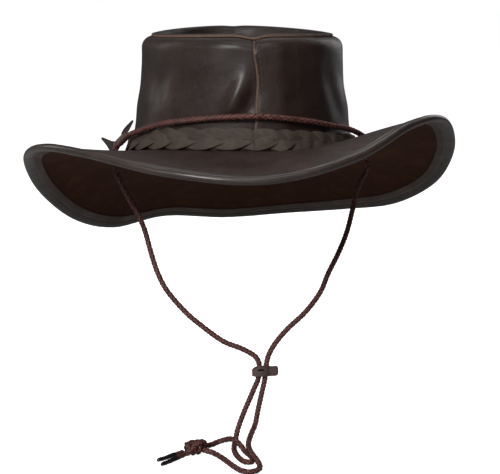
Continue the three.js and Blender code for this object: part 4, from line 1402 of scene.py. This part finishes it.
def floor_paper():
    finish, fresh = new_finish("white_paper_floor", 0.9)
    if fresh:
        shader = shader_of(finish)
        speck = cloud(finish, object_place(finish), 4, 2, 0.5)
        colour = ramp(finish, speck, (0.3, (0.9, 0.9, 0.9)), (0.7, (0.93, 0.93, 0.93)))
        seen = node(finish, "ShaderNodeLightPath").outputs["Is Camera Ray"]
        shown = blend_colours(finish, seen, (0.42, 0.41, 0.4), colour)
        tie(finish, shown, shader.inputs["Base Color"])
        shader.inputs["Emission Color"].default_value = (1, 1, 1, 1)
        tie(finish, combine(finish, "MULTIPLY", seen, 1.0), shader.inputs["Emission Strength"])
    return finish


# The setting

def set_camera():
    bpy.ops.object.camera_add(location=CAMERA_PLACE, rotation=(CAMERA_PITCH, 0, CAMERA_TURN))
    camera = bpy.context.object
    camera.name = "camera"
    camera.data.lens = CAMERA_LENS
    camera.data.sensor_width = 36
    camera.data.clip_start = 0.01
    bpy.context.scene.camera = camera


def lay_floor():
    choose_nothing()
    bpy.ops.mesh.primitive_circle_add(vertices=96, radius=6, fill_type="NGON", location=(0, 0, FLOOR_LEVEL))
    floor = named(bpy.context.object, "floor")
    settle(floor)
    floor.data.materials.append(floor_paper())


def soft_light(name, place, aim, size, power):
    choose_nothing()
    bpy.ops.object.light_add(type="AREA", location=place)
    light = bpy.context.object
    light.name = name
    light.data.shape = "RECTANGLE"
    light.data.size = size[0]
    light.data.size_y = size[1]
    light.data.energy = power
    light.rotation_euler = (Vector(aim) - Vector(place)).to_track_quat("-Z", "Y").to_euler()


def set_light():
    soft_light("key_left_front", (-0.72, -1.5, 0.86), (0, 0, 0.02), (0.5, 0.42), 27)
    soft_light("box_above", (0, -0.7, 1.7), (0, 0, 0), (1.1, 0.8), 8)
    soft_light("rim_left", (-1.25, 0.75, 0.55), (0, 0, 0), (0.3, 0.9), 2.5)
    soft_light("rim_right", (0.9, 1.2, 0.45), (0, 0, 0), (0.3, 0.9), 2.2)
    soft_light("back_above", (0.1, 1.1, 1.3), (0, 0, 0.05), (1.0, 0.4), 3)
    world = bpy.data.worlds.new("white_room")
    bpy.context.scene.world = world
    world.use_nodes = True
    nodes = world.node_tree.nodes
    links = world.node_tree.links
    nodes.clear()
    seen = nodes.new("ShaderNodeBackground")
    seen.inputs["Color"].default_value = (1, 1, 1, 1)
    seen.inputs["Strength"].default_value = 1.0
    around_it = nodes.new("ShaderNodeBackground")
    around_it.inputs["Color"].default_value = (1, 1, 1, 1)
    around_it.inputs["Strength"].default_value = 0.045
    path = nodes.new("ShaderNodeLightPath")
    mixed = nodes.new("ShaderNodeMixShader")
    out = nodes.new("ShaderNodeOutputWorld")
    links.new(path.outputs["Is Camera Ray"], mixed.inputs["Fac"])
    links.new(around_it.outputs["Background"], mixed.inputs[1])
    links.new(seen.outputs["Background"], mixed.inputs[2])
    links.new(mixed.outputs["Shader"], out.inputs["Surface"])
    bpy.context.scene.view_settings.view_transform = "Standard"


def free_cord(name, points, node):
    """A stretch of the cord below the brim, free from its hole to the knot."""
    cord, route = braided_cord(name, points)
    dress(cord, "braided_cord", cord_leather())
    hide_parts(node)


def make_cords():
    over, route = braided_cord("crown_cord_braid", CROWN_CORD_POINTS)
    dress(over, "braided_cord", cord_leather())
    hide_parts("crown_cord")
    slide = make_slide()
    knot = make_cord_knot()
    starts = in_knot_frame([(-0.00763, 0.0039, -0.0042), (-0.0080, -0.00285, -0.0042)])
    upper = make_cord_tip("cord_tip_upper_sleeve", starts[0], 221, "cord_tip_upper")
    lower = make_cord_tip("cord_tip_lower_sleeve", starts[1], 228, "cord_tip_lower")
    free_cord("chin_cord_left_braid", CHIN_CORD_LEFT_POINTS, "chin_cord_left")
    free_cord("chin_cord_right_braid", CHIN_CORD_RIGHT_POINTS, "chin_cord_right")


set_camera()
make_cords()
make_crown_panels()
make_crown_tip()
make_brim()
make_binding()
make_hat_band()
make_band_wrap()
strap_end("band_end_upper", (-0.0886, 0, 0.0102), (-0.0809, 0, 0.0208), 0.0034, 0.85, 0.0004, "band_tail_upper")
strap_end("band_end_lower", (-0.0922, 0.0047, -0.0015), (-0.104, 0.0047, 0.0076), 0.008, 0.6, 0.0006, "band_tail_lower")
seam_stitches("front_seam_stitches", 2.9, 0.017, 0.0745, 0.0038)
seam_stitches("back_seam_stitches", 177.1, 0.017, 0.091, 0.0038)
lay_floor()
set_light()
